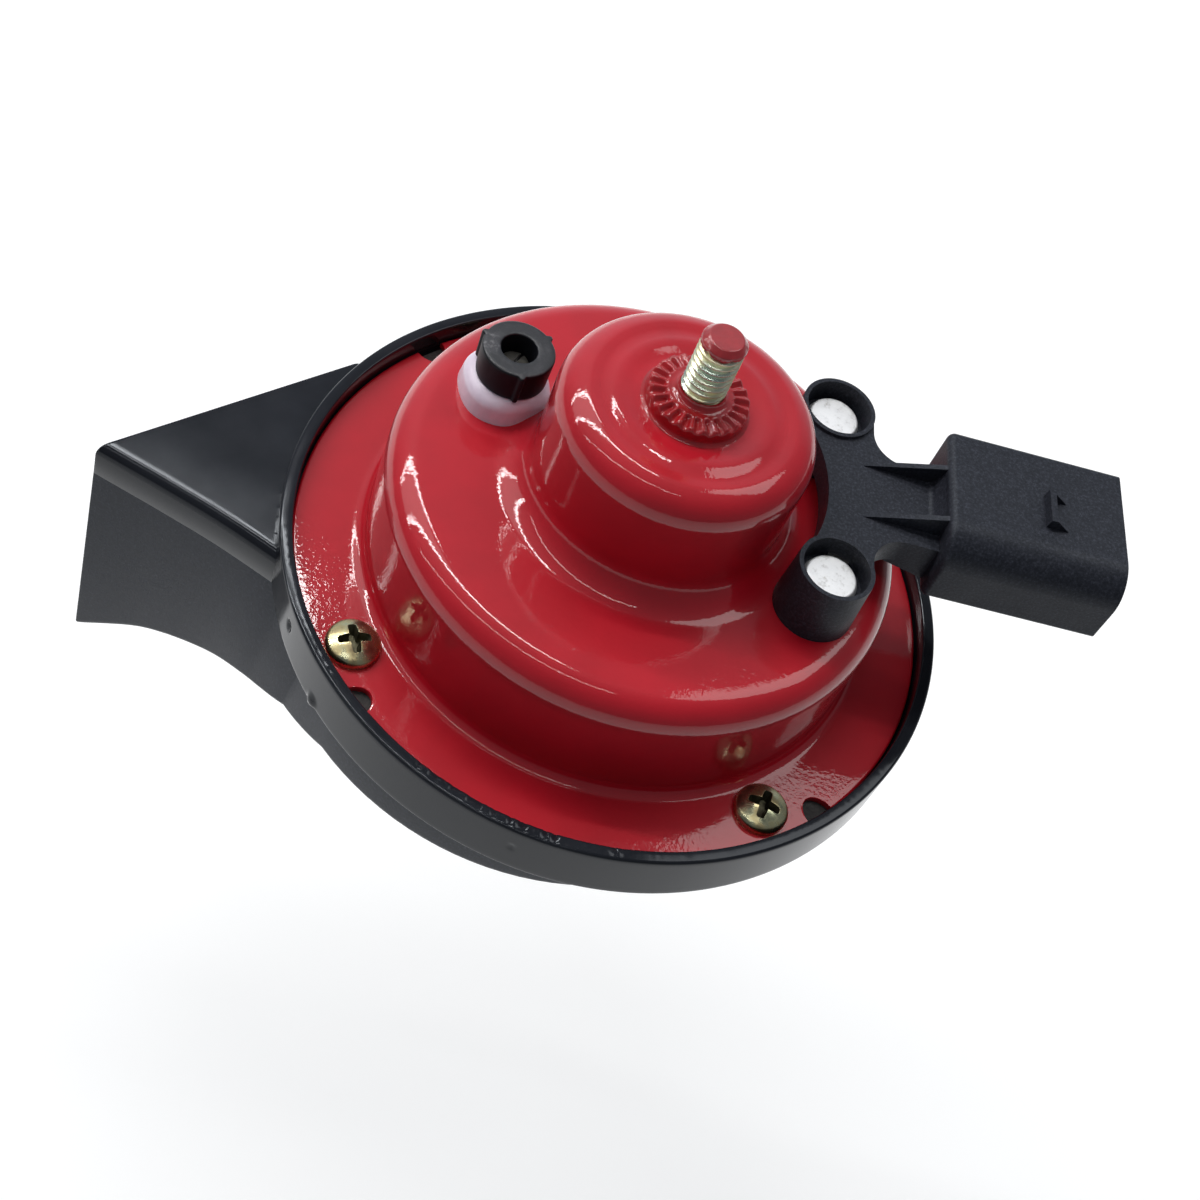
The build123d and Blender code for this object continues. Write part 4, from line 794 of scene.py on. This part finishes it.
def roof_loops(rows):
    """Loops round the flare's upper half: the skin over the ridge, then back under the roof."""
    width, top, ridge = channel_width(rows), rows[:, 6], rows[:, 7]
    roof, crossing = roof_corner(rows)
    return np.concatenate([
        seam_point(np.full(len(rows), -WALL)),
        arc(ridge - WALL, top - ridge, ridge, 2 * QUARTER, QUARTER),
        run(ridge - WALL, width + WALL - ridge, top, 36),
        arc(width + WALL - ridge, top - ridge, ridge, QUARTER, 0.0),
        seam_point(width + WALL),
        seam_point(width - AIR_CORNER, crossing),
        arc(width - AIR_CORNER, roof, AIR_CORNER, crossing, QUARTER),
        arc(AIR_CORNER, roof, AIR_CORNER, QUARTER, 2 * QUARTER - crossing),
        seam_point(AIR_CORNER, 2 * QUARTER - crossing),
    ], 1)


def air_loops(rows):
    """Loops round the air, which is cut out of the rim and deck."""
    far = channel_width(rows) - AIR_CORNER
    roof, floor = roof_corner(rows)[0], DECK_BACK - rows[:, 5] + AIR_CORNER
    return np.concatenate([
        arc(AIR_CORNER, roof, AIR_CORNER, 2 * QUARTER, QUARTER),
        arc(far, roof, AIR_CORNER, QUARTER, 0.0),
        arc(far, floor, AIR_CORNER, 0.0, -QUARTER),
        arc(AIR_CORNER, floor, AIR_CORNER, -QUARTER, -2 * QUARTER),
    ], 1)


smooth_nylon = new_finish("smooth_nylon", Specular_IOR_Level=0.27, Specular_Tint=(0.9, 0.95, 1.0, 1))
streaks = mottle(smooth_nylon, 90, 5, 0.6, (1, 1, 0.3))
shades(smooth_nylon, streaks, [(0.3, (0.0095, 0.0103, 0.0135)), (0.75, (0.016, 0.0172, 0.0220))])
polish(smooth_nylon, streaks, 0.10, 0.16, 0.3, 0.75)
relief(smooth_nylon, mottle(smooth_nylon, 260, 3, 0.5), 0.004)

# The roof starts inside the rim, where it is kept under the deck.
roof_rows = stations[stations[:, 3] > VOLUTE_END - 12]
roof_grid = stood_up(roof_rows, roof_loops(roof_rows))
within_rim = np.hypot(roof_grid[..., 0], roof_grid[..., 1]) < RIM_IN + 0.8
roof_grid[..., 2] = np.where(within_rim, np.minimum(roof_grid[..., 2], DECK_TOP - 0.3), roof_grid[..., 2])
roof = soften(skin_over("flare_roof", roof_grid, start_cap=True, end_cap=True), SEAM_BREAK, 2, 55)

pocket_floor, dish_floor = DECK_TOP - POCKET_DEPTH, DECK_TOP - DISH_DEPTH
rim_line = rounded_line(
    [(THROAT_R, DECK_BACK), (THROAT_R, pocket_floor), (POCKET_R, pocket_floor), (POCKET_R, dish_floor),
     (DISH_R, dish_floor), (DISH_R, DECK_TOP), (RIM_IN, DECK_TOP), (RIM_IN, RIM_TOP), (RIM_R, RIM_TOP),
     (RIM_R, DECK_BACK), (THROAT_R, DECK_BACK)],
    [0, 0, 0, 0, 0, 0, 0.25, 0.45, 0.4], 5)[:-1]
outer_part = rim_line[:, 0] > RIM_IN - 0.5
rim_line = np.vstack([rim_line[~outer_part], even_line(rim_line[outer_part], 0.6)])
angles = full_turn(900)
rim_grid = spun(rim_line, angles)
# Ragged crest: waves all round, less flakes. Flakes are few deep ones among many small, by a
# random number to the fourth power, in groups by a slower one.
turn = np.degrees((angles + math.pi) % TAU - math.pi)
flakes = np.random.default_rng(11)
knots = np.linspace(-180, 180, 1000)
single = np.interp(turn, knots, flakes.random(len(knots)) ** 4)
group = np.interp(turn, knots[::9], flakes.random(len(knots[::9])))
set_in = 1 / (1 + np.exp((FLASH_START - turn) / FLASH_RISE))
flashed = set_in / (1 + np.exp((turn - FLASH_END) / FLASH_FADE)) + FLAKE_LEAST
crest = np.clip((rim_grid[..., 2] - RIM_TOP + 0.5) / 0.4, 0, 1) * (rim_line[:, 0] > RIM_IN - 0.1)[:, None]
inner_edge = np.clip((RIM_IN + 1.2 - rim_line[:, 0]) / 0.8, 0.15, 1)[:, None]
flaked = FLAKE_DEPTH * inner_edge * flashed * (single * group)
rim_grid[..., 2] += crest * (sum_of_waves(angles, RIM_WAVES) - flaked)
# Marks: flat-topped bells on the wall, by the distance along it.
for mark_angle, mark_level, mark_size, mark_depth in RIM_MARKS:
    along = np.radians((turn - mark_angle + 180) % 360 - 180) * RIM_R
    away = np.hypot(along[None, :], rim_line[:, 1, None] - mark_level) / mark_size
    dent = mark_depth * np.exp(-away ** 4) * (rim_line[:, 0, None] > RIM_R - 0.3)
    push_out(rim_grid, angles, -dent)
rim = skin_over("rim_and_deck", rim_grid, along=True)
air_rows = stations[stations[:, 3] > VOLUTE_END - 14]
rim = cut(rim, skin_over("air", stood_up(air_rows, air_loops(air_rows)), start_cap=True, end_cap=True))
rear_shell = joined("trumpet_rear", [rim, roof])
dress(rear_shell, [smooth_nylon], "trumpet_rear_shell", sharp=50)

# ---- trumpet front shell
# The spiral trough and the lower half of the flare, moulded in black nylon off an etched tool
# that leaves it matt and speckled, and welded to the rear shell along the seam.
CUP_R = THROAT_R + WALL
PASSAGE_ROUND = 1.4


def trough_loops(rows):
    """Loops round the trough: the skin down one wall, under the floor and up, then back inside."""
    width, foot = channel_width(rows), rows[:, 8]
    roof, crossing = roof_corner(rows)
    floor = DECK_BACK - rows[:, 5]
    low = floor - WALL + foot
    loops = np.concatenate([
        seam_point(np.full(len(rows), -WALL)),
        arc(foot - WALL, low, foot, 2 * QUARTER, 3 * QUARTER),
        run(foot - WALL, width + WALL - foot, floor - WALL, 10),
        arc(width + WALL - foot, low, foot, 3 * QUARTER, 4 * QUARTER),
        seam_point(width + WALL),
        seam_point(width - AIR_CORNER, crossing),
        arc(width - AIR_CORNER, roof, AIR_CORNER, crossing, 0.0),
        arc(width - AIR_CORNER, floor + AIR_CORNER, AIR_CORNER, 0.0, -QUARTER),
        arc(AIR_CORNER, floor + AIR_CORNER, AIR_CORNER, -QUARTER, -2 * QUARTER),
        arc(AIR_CORNER, roof, AIR_CORNER, 2 * QUARTER, 2 * QUARTER - crossing),
        seam_point(AIR_CORNER, 2 * QUARTER - crossing),
    ], 1)
    loops[..., 1] = np.minimum(loops[..., 1], DECK_BACK)
    return loops


etched_nylon = new_finish("etched_nylon", Specular_IOR_Level=0.4, Specular_Tint=(0.9, 0.95, 1.0, 1))
etching = mottle(etched_nylon, 2200, 4, 0.75)
shades(etched_nylon, etching, [
    (0.34, (0.015, 0.016, 0.020)), (0.52, (0.030, 0.032, 0.0395)), (0.70, (0.074, 0.078, 0.093)),
])
polish(etched_nylon, etching, 0.42, 0.6)
relief(etched_nylon, etching, 0.03)

trough = skin_over("trough", stood_up(stations, trough_loops(stations)), start_cap=True, end_cap=True)
trough = soften(trough, SEAM_BREAK, 2, 55)

# Where the sound comes in: a cup under the deck's throat, and a straight passage to the spiral.
cup_low = DECK_BACK - VOLUTE_START_DEPTH - WALL
cup_line = rounded_line([(CUP_R, DECK_BACK), (CUP_R, cup_low), (0, cup_low)], [SHELL_CORNER], 6)
cup_inside = [(0, cup_low + WALL), (THROAT_R, cup_low + WALL), (THROAT_R, DECK_BACK)]
cup_grid = spun(np.vstack([even_line(cup_line, 2.0), cup_inside]), full_turn(96))
cup = skin_over("throat_cup", cup_grid, along=True)
passage_reach = outer_radius(VOLUTE_START) + WALL
passage_width = outer_radius(VOLUTE_START) - inner_radius(VOLUTE_START) + WALL
passage_line = rounded_line([(0, 0), (passage_reach, 0), (passage_reach, passage_width), (0, passage_width)],
                            [0, SHELL_CORNER], 6)
passage = prism("throat_passage", passage_line, cup_low, DECK_BACK)
passage = move(soften(passage, PASSAGE_ROUND, 3, 60), turn=-math.radians(VOLUTE_START))
front_shell = joined("trumpet_front", [trough, cup, passage])
dress(front_shell, [etched_nylon], "trumpet_front_shell", sharp=50)

# ---- flange screws
# Four self-tapping screws, cold headed, that clamp the housing's flange and the diaphragm to the
# deck. Yellow zinc on steel, with domed heads. The faces of their broad cross recesses take a dark
# finish that is partly grime and partly painted shade.
SCREW_PCD_R = 41.0
HEAD_R, HEAD_H, SCREW_R, SCREW_LENGTH = 3.75, 2.3, 1.45, 5.2
DOME_R, DOME_FOOT, HEAD_EDGE_R = 8.0, 1.15, 1.0
RECESS_FLOOR, RECESS_TAPER, RECESS_BREAK = 0.2, 0.62, 0.09
# Where each screw's cross stopped, in degrees.
SCREW_TURNS = (20, 75, 40, 10)
# Outline of one of the recess's four arms, from its root round the arm's end.
RECESS_ARM = [(0.72, -0.72), (2.3, -0.62), (2.55, -0.35), (2.55, 0.35), (2.3, 0.62)]

yellow_zinc = new_finish("yellow_zinc", Metallic=1.0)
clouds = mottle(yellow_zinc, 420, 3, 0.55)
shades(yellow_zinc, clouds, [
    (0.32, (0.30, 0.31, 0.20)), (0.46, (0.52, 0.50, 0.31)),
    (0.58, (0.50, 0.42, 0.22)), (0.74, (0.26, 0.20, 0.12)),
])
polish(yellow_zinc, clouds, 0.2, 0.36)
# Recess faces: partly grime, partly painted shade where the cross lies in shadow.
recess_grime_and_shade = new_finish("recess_grime_and_shade", Metallic=0.8, Roughness=0.45)
shades(recess_grime_and_shade, mottle(recess_grime_and_shade, 700, 3, 0.6), [
    (0.35, (0.035, 0.032, 0.018)), (0.7, (0.13, 0.12, 0.07)),
])
head_top, under_head = FLANGE_TOP + HEAD_H, FLANGE_TOP - 0.05
point = FLANGE_TOP - SCREW_LENGTH
screw_line = rounded_line(
    [(0, head_top), (1.2, head_top - 0.02), (HEAD_R, FLANGE_TOP + DOME_FOOT), (HEAD_R, under_head),
     (SCREW_R, under_head), (SCREW_R, point + SCREW_R), (0, point)],
    [DOME_R, HEAD_EDGE_R, 0, 0, 0.2], 8)
# Recess: the arm as complex numbers x + i y, turned by the four quarters.
arms = np.outer([1, 1j, -1, -1j], np.array(RECESS_ARM) @ [1, 1j]).ravel()
recess_outline = np.column_stack([arms.real, arms.imag])
screws = []
for i, screw_turn in enumerate(SCREW_TURNS):
    screw = skin_over("screw", spun(even_line(screw_line, 0.5), full_turn(64)))
    recess = prism("recess", recess_outline, FLANGE_TOP + RECESS_FLOOR, head_top + 0.3, RECESS_TAPER)
    screw = soften(cut(screw, recess, [yellow_zinc, recess_grime_and_shade]), RECESS_BREAK)
    move(screw, turn=math.radians(screw_turn))
    spot = math.radians(SCREW_ANGLE + 90 * i)
    screws.append(move(screw, SCREW_PCD_R * math.cos(spot), SCREW_PCD_R * math.sin(spot)))
screws = joined("cross_head_screws", screws)
dress(screws, [yellow_zinc, recess_grime_and_shade], "flange_screws", sharp=40)

# ---- studio: camera
# Looks down on the horn's fixing side from 240 mm away, rolled so that the plug leans up to the
# right. Its place is in millimetres; its back is the direction that it looks away from.
CAMERA_PLACE = (-46.23, -164.68, 167.80)
CAMERA_BACK = (-0.1688, -0.6006, 0.7815)
CAMERA_ROLL = 25.99
CAMERA_LENS, CAMERA_SENSOR = 56.96, 36.0

back = Vector(CAMERA_BACK).normalized()
level = Vector((0, 0, 1)).cross(back).normalized()
roll = math.radians(CAMERA_ROLL)
lens_right = level * math.cos(roll) + back.cross(level) * math.sin(roll)
lens_up = back.cross(lens_right)
camera = bpy.data.objects.new("camera", bpy.data.cameras.new("camera"))
camera.data.sensor_width = CAMERA_SENSOR
camera.data.lens = CAMERA_LENS
camera.data.clip_end = 20.0
turned = Matrix((lens_right, lens_up, back)).transposed().to_4x4()
camera.matrix_world = Matrix.Translation(Vector(CAMERA_PLACE) * MM) @ turned
scene.collection.objects.link(camera)
scene.camera = camera

# ---- studio: lamps
# Two long tubes and a thin one hang in a plane 1 m above the horn, off to the left and behind, with a
# diffuser between the long ones and a small softbox over the plug. All shine straight down.
# Start, end, width and height in metres, and radiance.
LAMPS = {
    "tube_far": ((-0.02, 0.70), (-2.2, 1.05), 0.05, 1.0, 30.0),
    "tube_middle": ((0.10, 0.364), (-2.2, 0.42), 0.05, 1.0, 30.0),
    "tube_near": ((0.14, -0.27), (-1.8, 0.0), 0.03, 1.0, 13.0),
    "diffuser": ((-0.15, 0.55), (-2.2, 0.70), 0.5, 1.02, 1.4),
    "softbox_plug": ((0.3, 0.42), (0.9, 0.42), 0.5, 1.0, 3.0),
}
for name, (start, end, width, height, radiance) in LAMPS.items():
    start, end = np.array(start), np.array(end)
    length = float(np.linalg.norm(end - start))
    lamp = bpy.data.objects.new(name, bpy.data.lights.new(name, "AREA"))
    lamp.data.shape = "RECTANGLE"
    lamp.data.size = length
    lamp.data.size_y = width
    lamp.data.energy = math.pi * radiance * length * width
    lamp.location = (*((start + end) / 2), height)
    lamp.rotation_euler = (0, 0, math.atan2(end[1] - start[1], end[0] - start[0]))
    lamp.visible_camera = False
    scene.collection.objects.link(lamp)

# ---- studio: surroundings and floor
# A dim room that brightens towards the far side, white to the eye, and a plain white floor well
# below the horn, which lights little but shows white in gloss and keeps the horn's shadow.
ROOM_NEAR, ROOM_FAR, ROOM_TURN = 0.2, 0.9, 0.55
ROOM_TINT = (0.82, 0.90, 1.0, 1)
FLOOR_LEVEL, FLOOR_HALF = -150.0, 4000.0
WHITE, FLOOR_GREY = (1, 1, 1, 1), (0.45, 0.45, 0.45, 1)
FLOOR_GLOW = 0.66


def combined(tree, operation, *values):
    """Output of a Math node over two values, each of which is a socket or a number."""
    node = tree.nodes.new("ShaderNodeMath")
    node.operation = operation
    for socket, value in zip(node.inputs, values):
        if isinstance(value, float):
            socket.default_value = value
        else:
            tree.links.new(value, socket)
    return node.outputs["Value"]


world = bpy.data.worlds.new("surroundings")
world.use_nodes = True
tree = world.node_tree
background = tree.nodes["Background"]
direction = tree.nodes.new("ShaderNodeTexCoord")
parts = tree.nodes.new("ShaderNodeSeparateXYZ")
tree.links.new(direction.outputs["Generated"], parts.inputs["Vector"])
far_side = tree.nodes.new("ShaderNodeMapRange")
far_side.inputs["From Min"].default_value = ROOM_TURN
far_side.inputs["To Min"].default_value = ROOM_NEAR
far_side.inputs["To Max"].default_value = ROOM_FAR
tree.links.new(parts.outputs["Y"], far_side.inputs["Value"])
rays = tree.nodes.new("ShaderNodeLightPath").outputs
strength = combined(tree, "MAXIMUM", far_side.outputs["Result"], rays["Is Camera Ray"])
tree.links.new(strength, background.inputs["Strength"])
tint = tree.nodes.new("ShaderNodeValToRGB")
tint.color_ramp.elements[0].color = ROOM_TINT
tint.color_ramp.elements[1].color = WHITE
tree.links.new(rays["Is Camera Ray"], tint.inputs["Fac"])
tree.links.new(tint.outputs["Color"], background.inputs["Color"])
scene.world = world

floor_paint = new_finish("floor_white", Base_Color=FLOOR_GREY, Roughness=1.0,
                         Emission_Color=WHITE, Specular_IOR_Level=0.0)
tree = floor_paint.node_tree
rays = tree.nodes.new("ShaderNodeLightPath").outputs
seen = combined(tree, "ADD", rays["Is Camera Ray"], rays["Is Glossy Ray"])
seen = combined(tree, "ADD", seen, rays["Is Transmission Ray"])
glow = combined(tree, "MULTIPLY", seen, FLOOR_GLOW)
tree.links.new(glow, tree.nodes["Principled BSDF"].inputs["Emission Strength"])
edge = np.array([-FLOOR_HALF, FLOOR_HALF])
floor_grid = np.stack([*np.meshgrid(edge, edge), np.full((2, 2), FLOOR_LEVEL)], -1)
floor = skin_over("floor", floor_grid, around=False)
floor.data.materials.append(floor_paint)
scene.view_settings.view_transform = "Standard"
